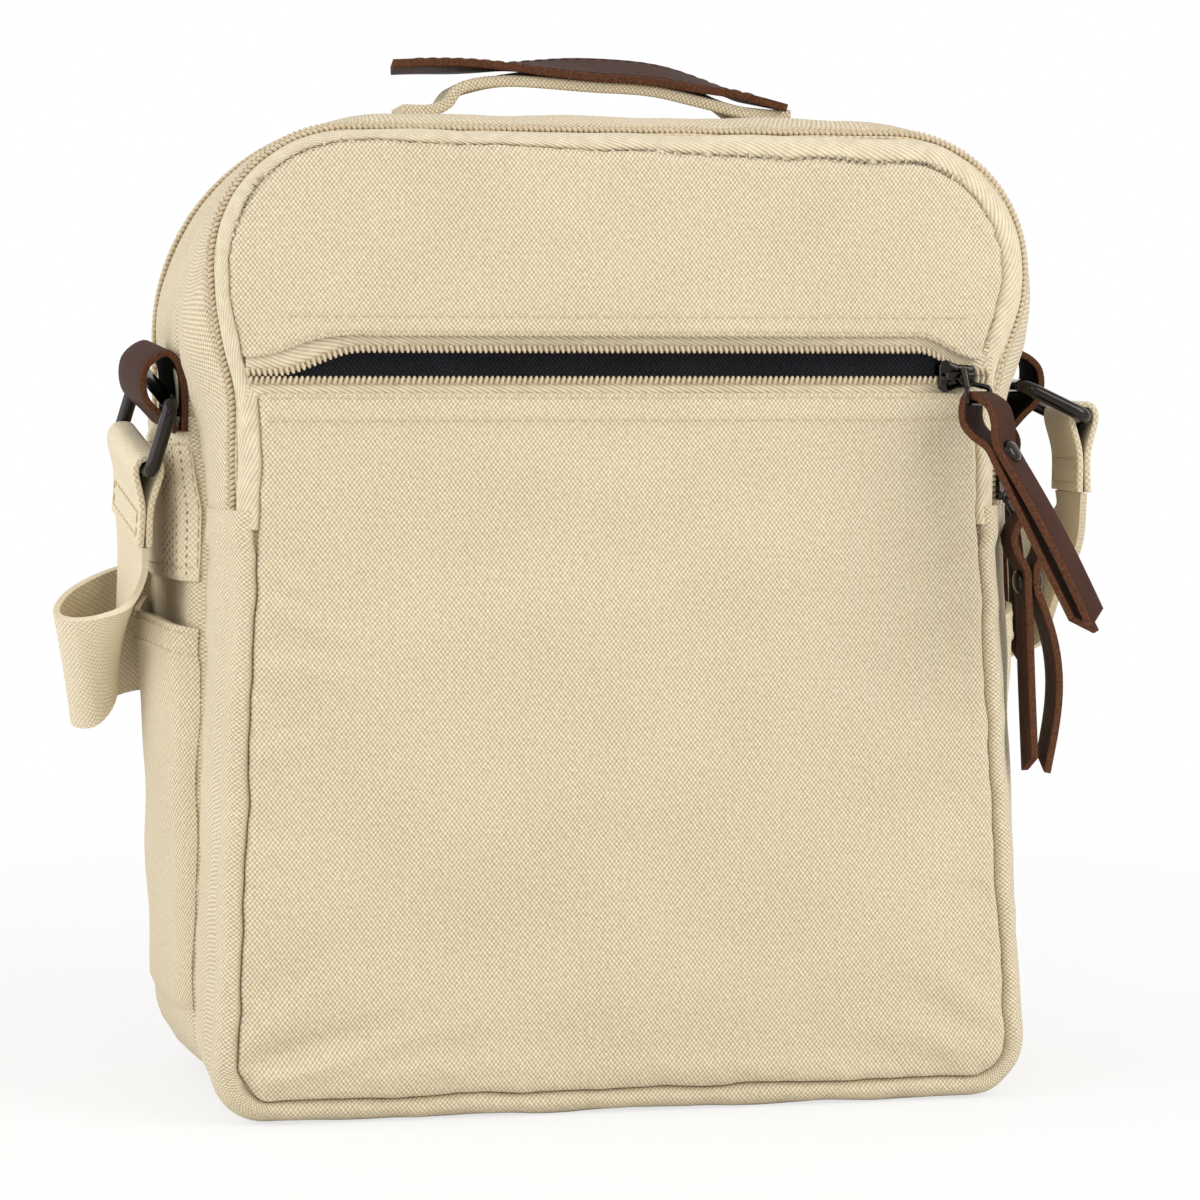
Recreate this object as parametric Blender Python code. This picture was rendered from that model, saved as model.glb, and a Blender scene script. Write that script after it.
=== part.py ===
"""Canvas shoulder bag with two zipped compartments, a zipped front pocket and a webbing strap.

The origin is under the middle of the base, the front faces -Y and +Z is up.
Sizes are in millimetres and become metres where a mesh is made.
"""
import math

import bmesh
import bpy
import numpy as np
from mathutils import Vector

MM = 0.001

# Cloth, leather and clearances
CANVAS = 1.6
LINING = 1.1
LEATHER = 2.0
TAB_LEATHER = 1.8
WEBBING = 2.0
WEBBING_WIDTH = 38.0
GAP = 0.3

# Depths, counted from the front seam
FRONT_SEAM_Y = -46.0
FRONT_ZIP_SETBACK = 8.0
ZIP_FLAT_HALF = 5.0
FRONT_SWELL_SETBACK = 24.0
FRONT_COMPARTMENT = 38.0
PLATEAU_SETBACK = 8.0
PLATEAU_DEPTH = 24.0
RING_SETBACK = 16.0
HANDLE_SETBACK = 24.0
MAIN_ZIP_SETBACK = 49.5
MAIN_COMPARTMENT = 58.0

# Heights
WAIST_Z = 157.0
MAIN_ZIP_END_Z = 181.0
POCKET_ZIP_Z = 192.0

# Half widths at the base, waist and top, bottom and top heights, top and bottom corner radii
FRONT_SECTION = (104.0, 97.6, 94.5, 8.0, 250.0, 42.0, 14.0)
COIL_SECTION = (106.5, 100.5, 107.0, 3.5, 256.0, 52.0, 18.0)
SWELL_SECTION = (112.0, 107.0, 115.0, 0.0, 261.0, 58.0, 22.0)
DIVIDER_SECTION = (110.0, 105.5, 114.0, 0.0, 260.0, 58.0, 22.0)
PLATEAU_FRONT_SECTION = (112.5, 112.0, 116.0, 0.0, 261.0, 59.0, 23.0)
PLATEAU_REAR_SECTION = (115.0, 115.2, 118.0, 0.0, 262.0, 60.0, 24.0)
MAIN_COIL_SECTION = (116.5, 117.5, 119.0, 0.0, 263.0, 60.0, 24.0)
BACK_SECTION = (111.0, 110.5, 112.0, 5.0, 257.0, 54.0, 18.0)

# How far each soft face stands out at its middle
POCKET_FACE_BULGE = 4.5
UPPER_FRONT_BULGE = 4.0
LINING_BULGE = 8.0
BACK_BULGE = 5.0

# Zip fasteners
COIL_WIDTH = 3.0
COIL_THICKNESS = 2.0
POCKET_ROW = 1.8
TAPE = 0.6
TAPE_SHOWN = 2.4
POCKET_MOUTH = 6.0
POCKET_ROW_HALF = 93.0
POCKET_SLIDER_X = 87.5
MOUTH_TAPER_RIGHT = 16.0
MOUTH_TAPER_LEFT = 22.0

# Sliders, links and pulls
PLATE = 1.1
PLATE_CLEAR = 0.3
SLIDER_LENGTH = 10.0
SLIDER_WIDE = 8.8
SLIDER_NARROW = 5.6
POST_WIDTH = 1.8
BRIDGE_RISE = 3.2
BRIDGE_BAR = 1.2
BRIDGE_WIDTH = 1.4
LINK_WIRE = 1.5
LINK_DROP = 9.0
PULL_WIDTH = 10.0
PULL_LENGTH = 66.0
POCKET_PULL_LEAN_DEG = 30.0
POCKET_PULL_TURN_DEG = 46.0
POCKET_LINK_DROP = 7.0
POCKET_LINK_ASIDE = 3.0
POCKET_LINK_OUT = 5.6
SIDE_PULL_LEAN_DEG = 3.0
SIDE_LINK_OUT = 5.0
RIVET_FROM_FOLD = 17.0
RIVET_HEAD = 6.3
RIVET_SHANK = 2.4

# Rings, tabs and side patches
RING_WIRE = 4.0
RING_INSIDE = 40.0
RING_DROP = 19.0
RING_CORNER = 3.2
LEFT_RING_SWING_DEG = 14.0
RIGHT_RING_SWING_DEG = 64.0
LEFT_RING_SLOPE = 0.24
RIGHT_RING_SLOPE = 0.0
TAB_WIDTH = 30.0
TAB_TOP_Z = 200.5
TAB_YAW_SLOPE = 0.13
TAB_RISE_SLOPE = 0.1
PATCH_BOTTOM_Z = 138.0
PATCH_TOP_Z = 177.0
SIDE_POCKET_BOTTOM_Z = 24.0
SIDE_POCKET_TOP_Z = 128.0
SIDE_POCKET_STANDOFF = 5.5

# Carry handle
HANDLE_HALF_SPAN = 53.0
HANDLE_FOOT = 14.0
HANDLE_RISE = 15.0
HANDLE_STRAP = 3.0
HANDLE_STRAP_WIDTH = 24.0
HANDLE_COVER_WIDTH = 28.0
HANDLE_COVER_HALF = 55.0

DIVIDER_Y = FRONT_SEAM_Y + FRONT_COMPARTMENT
BACK_SEAM_Y = DIVIDER_Y + MAIN_COMPARTMENT
FRONT_COIL_Y = FRONT_SEAM_Y + FRONT_ZIP_SETBACK
MAIN_COIL_Y = DIVIDER_Y + MAIN_ZIP_SETBACK
RING_Y = DIVIDER_Y + RING_SETBACK
HANDLE_Y = DIVIDER_Y + HANDLE_SETBACK
POCKET_COIL_Y = FRONT_SEAM_Y + CANVAS / 2
PLATEAU_Y = DIVIDER_Y + PLATEAU_SETBACK
SECTION_Y = (FRONT_SEAM_Y, FRONT_COIL_Y - ZIP_FLAT_HALF, FRONT_COIL_Y + ZIP_FLAT_HALF,
             FRONT_SEAM_Y + FRONT_SWELL_SETBACK, DIVIDER_Y, PLATEAU_Y, PLATEAU_Y + PLATEAU_DEPTH,
             MAIN_COIL_Y - ZIP_FLAT_HALF,
             MAIN_COIL_Y + ZIP_FLAT_HALF, BACK_SEAM_Y)
SECTIONS = np.array((FRONT_SECTION, COIL_SECTION, COIL_SECTION, SWELL_SECTION, DIVIDER_SECTION,
                     PLATEAU_FRONT_SECTION, PLATEAU_REAR_SECTION, MAIN_COIL_SECTION, MAIN_COIL_SECTION,
                     BACK_SECTION))
POCKET_HEIGHTS = np.linspace(SIDE_POCKET_TOP_Z, SIDE_POCKET_BOTTOM_Z, 5)
SIDE_KNOTS_Z = [PATCH_TOP_Z, WAIST_Z, PATCH_BOTTOM_Z] + list(POCKET_HEIGHTS[:-1])
CORNER_STEPS = 7

for old in list(bpy.data.objects):
    bpy.data.objects.remove(old)


def finish_material(name, colour, roughness, metallic):
    """A plain Principled finish."""
    material = bpy.data.materials.new(name)
    material.use_nodes = True
    shader = material.node_tree.nodes["Principled BSDF"]
    shader.inputs["Base Color"].default_value = (*colour, 1.0)
    shader.inputs["Roughness"].default_value = roughness
    shader.inputs["Metallic"].default_value = metallic
    return material


CANVAS_CLOTH = finish_material("khaki_canvas", (0.72, 0.61, 0.39), 0.9, 0.0)
LINING_CLOTH = finish_material("dark_lining", (0.10, 0.10, 0.12), 0.85, 0.0)
ZIP_TAPE = finish_material("zip_tape", (0.68, 0.57, 0.36), 0.8, 0.0)
ZIP_COIL = finish_material("nylon_coil", (0.55, 0.43, 0.26), 0.5, 0.0)
COTTON_WEBBING = finish_material("cotton_webbing", (0.72, 0.62, 0.42), 0.9, 0.0)
BROWN_LEATHER = finish_material("brown_leather", (0.07, 0.032, 0.022), 0.55, 0.0)
GUNMETAL = finish_material("gunmetal", (0.11, 0.085, 0.085), 0.3, 1.0)


def make_solid(name, points, faces, material, smooth=True):
    """One closed body from points in millimetres, with its faces turned outwards."""
    mesh = bpy.data.meshes.new(name)
    mesh.from_pydata([tuple(MM * c for c in p) for p in points], [], [tuple(f) for f in faces])
    shell = bmesh.new()
    shell.from_mesh(mesh)
    bmesh.ops.recalc_face_normals(shell, faces=shell.faces)
    shell.to_mesh(mesh)
    shell.free()
    if smooth:
        mesh.shade_smooth()
        mesh.set_sharp_from_angle(angle=math.radians(40))
    mesh.materials.append(material)
    piece = bpy.data.objects.new(name, mesh)
    bpy.context.scene.collection.objects.link(piece)
    return piece


def combine(base, tool, operation):
    """Cut or join one piece with another, which is used up."""
    change = base.modifiers.new(operation.lower(), "BOOLEAN")
    change.operation = operation
    change.solver = "EXACT"
    change.object = tool
    settled = base.evaluated_get(bpy.context.evaluated_depsgraph_get())
    base.data = bpy.data.meshes.new_from_object(settled)
    base.modifiers.clear()
    bpy.data.objects.remove(tool)
    return base


def hang_on(piece, pivot, pivot_name):
    """Parent a moving piece to an empty on its joint's axis."""
    axis = bpy.data.objects.get(pivot_name)
    if axis is None:
        axis = bpy.data.objects.new(pivot_name, None)
        axis.location = Vector(pivot) * MM
        bpy.context.scene.collection.objects.link(axis)
        bpy.context.view_layer.update()
    piece.parent = axis
    piece.matrix_parent_inverse = axis.matrix_world.inverted()


def make_slab(name, outer, inner, material):
    """A sheet with thickness from two matching grids of points."""
    outer = np.asarray(outer, float)
    inner = np.asarray(inner, float)
    rows, cols = outer.shape[:2]
    count = rows * cols
    index = np.arange(count).reshape(rows, cols)
    faces = []
    for r in range(rows - 1):
        for c in range(cols - 1):
            a, b, d, e = index[r, c], index[r, c + 1], index[r + 1, c + 1], index[r + 1, c]
            faces.append((a, b, d, e))
            faces.append((a + count, e + count, d + count, b + count))
    rim = list(index[0, :]) + list(index[1:, -1]) + list(index[-1, -2::-1]) + list(index[-2:0:-1, 0])
    for a, b in zip(rim, rim[1:] + rim[:1]):
        faces.append((a, a + count, b + count, b))
    points = np.vstack((outer.reshape(-1, 3), inner.reshape(-1, 3)))
    return make_solid(name, points, faces, material)


def smooth_curve(points, steps):
    """Points of a Catmull-Rom curve through the given ones."""
    points = np.asarray(points, float)
    ends = np.vstack((2 * points[0] - points[1], points, 2 * points[-1] - points[-2]))
    curve = []
    for a, b, c, d in zip(ends, ends[1:], ends[2:], ends[3:]):
        for t in np.arange(steps) / steps:
            curve.append(0.5 * (2 * b + (c - a) * t + (2 * a - 5 * b + 4 * c - d) * t ** 2
                                + (3 * b - a - 3 * c + d) * t ** 3))
    curve.append(points[-1])
    return np.array(curve)


def make_band(name, first_edge, second_edge, thickness, material):
    """A flat band between two edges."""
    along = np.gradient((first_edge + second_edge) / 2, axis=0)
    normal = np.cross(along, first_edge - second_edge)
    face = normal / np.linalg.norm(normal, axis=1, keepdims=True) * thickness / 2
    outer = np.stack((second_edge + face, first_edge + face), axis=1)
    inner = np.stack((second_edge - face, first_edge - face), axis=1)
    return make_slab(name, outer, inner, material)


def make_ribbon(name, centres, across, width, thickness, material):
    """A flat band along centres, with its width along one direction."""
    centres = np.asarray(centres, float)
    edge = np.asarray(across, float) * width / 2
    return make_band(name, centres + edge, centres - edge, thickness, material)


def make_wire_loop(name, loop, normal, diameter, material, sides=8):
    """A closed wire along a loop of points that is flat, or nearly so."""
    loop = np.asarray(loop, float)
    along = np.roll(loop, -1, axis=0) - np.roll(loop, 1, axis=0)
    along /= np.linalg.norm(along, axis=1, keepdims=True)
    lift = np.asarray(normal, float) - along * np.sum(along * normal, axis=1, keepdims=True)
    lift /= np.linalg.norm(lift, axis=1, keepdims=True)
    outward = np.cross(along, lift)
    turn = 2 * math.pi * np.arange(sides) / sides
    ring = (loop[:, None, :] + diameter / 2 * (np.cos(turn)[None, :, None] * outward[:, None, :]
                                              + np.sin(turn)[None, :, None] * lift[:, None, :]))
    count = len(loop)
    faces = []
    for r in range(count):
        for c in range(sides):
            n, d = (r + 1) % count, (c + 1) % sides
            faces.append((r * sides + c, r * sides + d, n * sides + d, n * sides + c))
    return make_solid(name, ring.reshape(-1, 3), faces, material)


def make_prism(name, outline, thickness, place, material):
    """An outline in two directions, thickened in a third; place maps the three to the bag."""
    count = len(outline)
    points = [place(u, v, -thickness / 2) for u, v in outline]
    points += [place(u, v, thickness / 2) for u, v in outline]
    faces = [tuple(range(count)), tuple(range(2 * count - 1, count - 1, -1))]
    faces += [(i, (i + 1) % count, (i + 1) % count + count, i + count) for i in range(count)]
    return make_solid(name, points, faces, material, smooth=False)


def round_corners(points, radii, steps=CORNER_STEPS):
    """An outline with its corners turned into arcs."""
    points = np.asarray(points, float)
    rounded = []
    for i, radius in enumerate(radii):
        here = points[i]
        if radius == 0:
            rounded.append(here)
            continue
        back = points[i - 1] - here
        ahead = points[(i + 1) % len(points)] - here
        back /= np.linalg.norm(back)
        ahead /= np.linalg.norm(ahead)
        half = 0.5 * math.acos(np.clip(back @ ahead, -1, 1))
        middle = (back + ahead) / np.linalg.norm(back + ahead)
        centre = here + middle * radius / math.sin(half)
        first = here + back * radius / math.tan(half) - centre
        last = here + ahead * radius / math.tan(half) - centre
        sweep = math.pi - 2 * half
        for k in range(steps + 1):
            t = k / steps
            rounded.append(centre + (math.sin((1 - t) * sweep) * first + math.sin(t * sweep) * last)
                           / math.sin(sweep))
    return np.array(rounded)


def offset_path(path, distance, closed=False):
    """A path moved to its left by a distance, with mitred corners."""
    path = np.asarray(path, float)
    step = np.roll(path, -1, axis=0) - path
    step /= np.linalg.norm(step, axis=1, keepdims=True)
    ahead = np.stack((-step[:, 1], step[:, 0]), axis=1)
    behind = np.roll(ahead, 1, axis=0)
    if not closed:
        behind[0] = ahead[0]
        ahead[-1] = behind[-1]
    mitre = (ahead + behind) / (1 + np.sum(ahead * behind, axis=1, keepdims=True))
    return path + distance * mitre


def section(y):
    """The bag's outline sizes at one depth."""
    return [np.interp(y, SECTION_Y, column) for column in SECTIONS.T]


def side_x(y, z):
    """Half width of the bag at one depth and height."""
    base, waist, top, bottom_z, top_z, _, _ = section(y)
    return float(np.interp(z, (bottom_z, WAIST_Z, top_z), (base, waist, top)))


def upper_path(y, start_z):
    """The outline over the top, from the left side to the right side."""
    _, _, top, _, top_z, top_radius, _ = section(y)
    corners = [(-side_x(y, start_z), start_z), (-top, top_z), (top, top_z), (side_x(y, start_z), start_z)]
    return round_corners(corners, (0, top_radius, top_radius, 0))


def lower_path(y, start_z):
    """The outline under the base, from the right side to the left side."""
    base, _, _, bottom_z, _, _, bottom_radius = section(y)
    knots = [z for z in SIDE_KNOTS_Z if z < start_z - GAP]
    right = [(side_x(y, z), z) for z in [start_z] + knots] + [(base, bottom_z)]
    corners = right + [(-x, z) for x, z in reversed(right)]
    radii = [0] * (len(right) - 1) + [bottom_radius] * 2 + [0] * (len(right) - 1)
    return round_corners(corners, radii)


def make_gusset(name, path, depths, thickness, material, lift=0.0):
    """A band of cloth that follows the bag's outline between depths; lift moves it outwards."""
    outer = []
    inner = []
    for y in depths:
        line = path(y)
        for rows, distance in ((outer, lift), (inner, lift - thickness)):
            flat = offset_path(line, distance)
            rows.append(np.column_stack((flat[:, 0], np.full(len(flat), y), flat[:, 1])))
    return make_slab(name, outer, inner, material)


def make_panel(name, outline, front_y, thickness, bulge, levels, material):
    """A face panel whose middle stands out from its seam; levels give share inwards and share out."""
    outline = np.asarray(outline, float)
    centre = (outline.max(axis=0) + outline.min(axis=0)) / 2
    count = len(outline)
    points = []
    for shift in (0.0, thickness):
        for inward, out in levels:
            ring = outline + (centre - outline) * inward
            points += [(x, front_y + shift - bulge * out, z) for x, z in ring]
        points.append((centre[0], front_y + shift - bulge, centre[1]))
    side = count * len(levels) + 1
    faces = []
    for i in range(count):
        j = (i + 1) % count
        for k in range(len(levels) - 1):
            a, b, d, e = k * count + i, k * count + j, (k + 1) * count + j, (k + 1) * count + i
            faces.append((a, b, d, e))
            faces.append((a + side, e + side, d + side, b + side))
        last = (len(levels) - 1) * count
        faces.append((last + i, last + j, side - 1))
        faces.append((last + j + side, last + i + side, 2 * side - 1))
        faces.append((i, i + side, j + side, j))
    return make_solid(name, points, faces, material)


def closed_outline(y):
    """The whole outline at one depth."""
    return np.vstack((upper_path(y, WAIST_Z), lower_path(y, WAIST_Z)[1:-1]))


# Back, divider and front lining panels
PILLOW = ((0.0, 0.0), (0.1, 0.35), (0.35, 0.8))
QUICK_PILLOW = ((0.0, 0.0), (0.02, 0.4), (0.35, 0.85))
FLAT = ((0.0, 0.0),)
MAIN_GUSSET_END = BACK_SEAM_Y - CANVAS - GAP
make_panel("back_panel", closed_outline(MAIN_GUSSET_END), BACK_SEAM_Y - CANVAS, CANVAS, -BACK_BULGE, PILLOW,
           CANVAS_CLOTH)
DIVIDER_FRONT_Y = DIVIDER_Y - CANVAS / 2
make_panel("divider_panel", closed_outline(DIVIDER_Y), DIVIDER_FRONT_Y, CANVAS, 0.0, FLAT, CANVAS_CLOTH)
LINING_FRONT_Y = FRONT_SEAM_Y + CANVAS + GAP
lining_outline = offset_path(closed_outline(FRONT_SEAM_Y), -CANVAS - GAP, closed=True)
make_panel("front_lining", lining_outline, LINING_FRONT_Y, LINING, -LINING_BULGE, QUICK_PILLOW, LINING_CLOTH)


# Front faces above and below the pocket zip
def mouth_lift(x):
    """How far the upper row of the pocket zip stands open at one place along it."""
    right = np.clip((POCKET_ROW_HALF - x) / MOUTH_TAPER_RIGHT, 0, 1)
    left = np.clip((POCKET_ROW_HALF + x) / MOUTH_TAPER_LEFT, 0, 1)
    ease = (right ** 2 * (3 - 2 * right)) * (left ** 2 * (3 - 2 * left))
    return POCKET_MOUTH * ease


ROW_NEAR = GAP / 2
ROW_FAR = ROW_NEAR + POCKET_ROW
ROW_X = np.concatenate((np.linspace(-POCKET_ROW_HALF, MOUTH_TAPER_LEFT - POCKET_ROW_HALF, 6),
                        np.linspace(POCKET_ROW_HALF - MOUTH_TAPER_RIGHT, POCKET_ROW_HALF, 6)))
LOWER_EDGE_Z = POCKET_ZIP_Z - ROW_FAR - TAPE_SHOWN
UPPER_EDGE_Z = POCKET_ZIP_Z + ROW_FAR + TAPE_SHOWN
arch = upper_path(FRONT_SEAM_Y, UPPER_EDGE_Z)
mouth_edge = np.column_stack((ROW_X, UPPER_EDGE_Z + mouth_lift(ROW_X)))[::-1]
make_panel("upper_front_panel", np.vstack((arch, mouth_edge)), FRONT_SEAM_Y, CANVAS, UPPER_FRONT_BULGE, PILLOW,
           CANVAS_CLOTH)
make_panel("front_pocket_face", lower_path(FRONT_SEAM_Y, LOWER_EDGE_Z), FRONT_SEAM_Y, CANVAS, POCKET_FACE_BULGE,
           ((0.0, 0.0), (0.08, 0.3), (0.22, 0.65), (0.5, 0.92)), CANVAS_CLOTH)


# Pocket zip: two rows of coil on two tapes, open towards the left
def make_row(name, low, high, lifted, thickness, material):
    """A strip along the pocket's mouth between two heights."""
    lift = mouth_lift(ROW_X) * lifted
    edges = [np.column_stack((ROW_X, np.full(len(ROW_X), POCKET_COIL_Y), POCKET_ZIP_Z + lift + z))
             for z in (low, high)]
    shift = np.array((0.0, thickness / 2, 0.0))
    grid = np.stack(edges, axis=1)
    return make_slab(name, grid - shift, grid + shift, material)


make_row("pocket_coil_lower", -ROW_FAR, -ROW_NEAR, 0, COIL_THICKNESS, ZIP_COIL)
make_row("pocket_coil_upper", ROW_NEAR, ROW_FAR, 1, COIL_THICKNESS, ZIP_COIL)
make_row("pocket_tape_lower", -ROW_FAR - TAPE_SHOWN + GAP, -ROW_FAR - GAP, 0, TAPE, ZIP_TAPE)
make_row("pocket_tape_upper", ROW_FAR + GAP, ROW_FAR + TAPE_SHOWN - GAP, 1, TAPE, ZIP_TAPE)


# Gussets and the two arched zips
def above_waist(y):
    return upper_path(y, WAIST_Z + GAP / 2)


def below_waist(y):
    return lower_path(y, WAIST_Z - GAP / 2)


def above_main_end(y):
    return upper_path(y, MAIN_ZIP_END_Z + GAP / 2)


def below_main_end(y):
    return lower_path(y, MAIN_ZIP_END_Z - GAP / 2)


def depths_between(first, last):
    """The two ends and every section between them."""
    return [first] + [y for y in SECTION_Y if first + GAP < y < last - GAP] + [last]


FRONT_GUSSET_START = FRONT_SEAM_Y + CANVAS + GAP
FRONT_GUSSET_END = DIVIDER_FRONT_Y - GAP
MAIN_GUSSET_START = DIVIDER_FRONT_Y + CANVAS + GAP
COIL_SIDE = COIL_WIDTH / 2 + GAP
COIL_LIFT = (COIL_THICKNESS - CANVAS) / 2
make_gusset("front_gusset", below_waist, depths_between(FRONT_GUSSET_START, FRONT_GUSSET_END), CANVAS,
            CANVAS_CLOTH)
make_gusset("front_zip_tape", above_waist, depths_between(FRONT_GUSSET_START, FRONT_COIL_Y - COIL_SIDE), CANVAS,
            ZIP_TAPE)
make_gusset("front_zip_band", above_waist, depths_between(FRONT_COIL_Y + COIL_SIDE, FRONT_GUSSET_END), CANVAS,
            CANVAS_CLOTH)
make_gusset("main_gusset", below_main_end, depths_between(MAIN_GUSSET_START, MAIN_GUSSET_END), CANVAS,
            CANVAS_CLOTH)
make_gusset("main_zip_front_band", above_main_end, depths_between(MAIN_GUSSET_START, MAIN_COIL_Y - COIL_SIDE),
            CANVAS, CANVAS_CLOTH)
make_gusset("main_zip_rear_band", above_main_end, depths_between(MAIN_COIL_Y + COIL_SIDE, MAIN_GUSSET_END),
            CANVAS, CANVAS_CLOTH)


def make_arched_coil(name, coil_y, path, end_z):
    """A closed zip chain over the top, which stops inside its slider at the right."""
    line = path(coil_y).copy()
    down = line[-1] - line[-2]
    line[-1] = line[-2] + down * (line[-2][1] - end_z) / (line[-2][1] - line[-1][1])
    outer = []
    inner = []
    for rows, distance in ((outer, COIL_LIFT), (inner, COIL_LIFT - COIL_THICKNESS)):
        flat = offset_path(line, distance)
        for y in (coil_y - COIL_WIDTH / 2, coil_y + COIL_WIDTH / 2):
            rows.append(np.column_stack((flat[:, 0], np.full(len(flat), y), flat[:, 1])))
    return make_slab(name, outer, inner, ZIP_COIL)


FRONT_SLIDER_Z = WAIST_Z + SLIDER_LENGTH * 0.7
MAIN_SLIDER_Z = MAIN_ZIP_END_Z + SLIDER_LENGTH * 0.7
make_arched_coil("front_coil", FRONT_COIL_Y, above_waist, FRONT_SLIDER_Z)
make_arched_coil("main_coil", MAIN_COIL_Y, above_main_end, MAIN_SLIDER_Z)

# Sliders: two plates joined by a post at the open end, with a bridge for the link
PLATE_INNER = COIL_THICKNESS / 2 + PLATE_CLEAR
PLATE_OUTER = PLATE_INNER + PLATE
BRIDGE_UNDER = PLATE_OUTER + BRIDGE_RISE
BRIDGE_MIDDLE = BRIDGE_UNDER + BRIDGE_BAR / 2
PLATE_SHAPE = [(-SLIDER_LENGTH / 2, -SLIDER_NARROW / 2), (0.0, -SLIDER_NARROW / 2 - 0.4),
               (SLIDER_LENGTH * 0.3, -SLIDER_WIDE / 2), (SLIDER_LENGTH / 2, -SLIDER_WIDE / 2 + 1.2),
               (SLIDER_LENGTH / 2, SLIDER_WIDE / 2 - 1.2), (SLIDER_LENGTH * 0.3, SLIDER_WIDE / 2),
               (0.0, SLIDER_NARROW / 2 + 0.4), (-SLIDER_LENGTH / 2, SLIDER_NARROW / 2)]
POST_AT = SLIDER_LENGTH * 0.34
POST_SHAPE = [(POST_AT - 1.4, 0.0), (POST_AT, -POST_WIDTH / 2), (POST_AT + 1.3, 0.0), (POST_AT, POST_WIDTH / 2)]
BRIDGE_HALF = SLIDER_LENGTH * 0.42


def make_slider(name, centre, travel, out, post_shift=0.0):
    """A zip slider; travel points to its open end and out points away from the cloth."""
    centre = np.array(centre, float)
    travel = np.array(travel, float) / np.linalg.norm(travel)
    out = np.array(out, float) / np.linalg.norm(out)
    side = np.cross(out, travel)

    def plate_place(height):
        return lambda u, v, w: centre + travel * u + side * v + out * (height + w)

    def bridge_place(u, v, w):
        return centre + travel * u + out * v + side * w

    middle = (PLATE_INNER + PLATE_OUTER) / 2
    slider = make_prism(name, PLATE_SHAPE, PLATE, plate_place(middle), GUNMETAL)
    post_outline = [(u, v + post_shift) for u, v in POST_SHAPE]
    post = make_prism(name + "_post", post_outline, 2 * middle, plate_place(0.0), GUNMETAL)
    lower = make_prism(name + "_lower", PLATE_SHAPE, PLATE, plate_place(-middle), GUNMETAL)
    foot = PLATE_OUTER - PLATE / 2
    inside = [(-BRIDGE_HALF + BRIDGE_BAR, foot), (-BRIDGE_HALF + BRIDGE_BAR, BRIDGE_UNDER),
              (BRIDGE_HALF - BRIDGE_BAR, BRIDGE_UNDER), (BRIDGE_HALF - BRIDGE_BAR, foot)]
    outside = [(BRIDGE_HALF, foot), (BRIDGE_HALF, BRIDGE_UNDER + BRIDGE_BAR),
               (-BRIDGE_HALF, BRIDGE_UNDER + BRIDGE_BAR), (-BRIDGE_HALF, foot)]
    inner_turn = round_corners(inside, (0, 1.0, 1.0, 0), steps=3)
    outer_turn = round_corners(outside, (0, 2.0, 2.0, 0), steps=3)
    bridge = make_prism(name + "_bridge", np.vstack((inner_turn, outer_turn)), BRIDGE_WIDTH, bridge_place,
                        GUNMETAL)
    for extra in (post, lower, bridge):
        slider = combine(slider, extra, "UNION")
    return slider


def wire_loop_points(corners, radius):
    """A closed loop with round corners."""
    return round_corners(corners, [radius] * len(corners), steps=3)


# Folded leather pulls: both tails hang from one fold and are held by a rivet
FOLD_HALF = 4.4
LINK_HALF = LINK_WIRE / 2
BAR_TO_FOLD = LINK_HALF + 1.5 * GAP
TAIL_HALF = LEATHER / 2 + GAP
PULL_SIDE = [(PULL_LENGTH, TAIL_HALF + 1.2), (PULL_LENGTH * 0.72, TAIL_HALF + 0.9),
             (PULL_LENGTH * 0.45, TAIL_HALF + 0.2), (RIVET_FROM_FOLD + 3, TAIL_HALF),
             (RIVET_FROM_FOLD - 3, TAIL_HALF), (RIVET_FROM_FOLD * 0.55, FOLD_HALF * 0.8),
             (RIVET_FROM_FOLD * 0.3, FOLD_HALF), (RIVET_FROM_FOLD * 0.08, FOLD_HALF * 0.65)]
FOLD_TOP = -LEATHER / 2


def make_pull(name, fold, down, side_dir):
    """A folded leather pull with its fold at a point; its width lies across both of its directions."""
    path = PULL_SIDE + [(FOLD_TOP, 0.0)] + [(a, -b) for a, b in reversed(PULL_SIDE)]
    curve = smooth_curve(path, 2)
    fold = np.array(fold, float)
    down = np.array(down, float)
    side_dir = np.array(side_dir, float)
    centres = fold + curve[:, :1] * down + curve[:, 1:] * side_dir
    pull = make_ribbon(name, centres, np.cross(side_dir, down), PULL_WIDTH, LEATHER, BROWN_LEATHER)
    at = fold + down * RIVET_FROM_FOLD
    hole = [(RIVET_SHANK / 2 + GAP, -20.0), (RIVET_SHANK / 2 + GAP, 20.0)]
    punch = make_turned(name + "_punch", [(0.0, -20.0)] + hole + [(0.0, 20.0)], at, side_dir, BROWN_LEATHER)
    combine(pull, punch, "DIFFERENCE")
    return pull


def make_turned(name, profile, centre, axis, material, sides=12):
    """A round piece from a profile of radius and place along its axis."""
    axis = Vector(axis).normalized()
    across = axis.orthogonal().normalized()
    other = axis.cross(across)
    points = []
    faces = []
    rings = []
    for radius, place in profile:
        start = len(points)
        if radius == 0:
            points.append(Vector(centre) + axis * place)
            rings.append([start] * sides)
            continue
        for k in range(sides):
            turn = 2 * math.pi * k / sides
            points.append(Vector(centre) + axis * place
                          + radius * (across * math.cos(turn) + other * math.sin(turn)))
        rings.append(list(range(start, start + sides)))
    for low, high in zip(rings, rings[1:]):
        for k in range(sides):
            corner = (low[k], low[(k + 1) % sides], high[(k + 1) % sides], high[k])
            faces.append(tuple(dict.fromkeys(corner)))
    return make_solid(name, points, faces, material)


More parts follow.
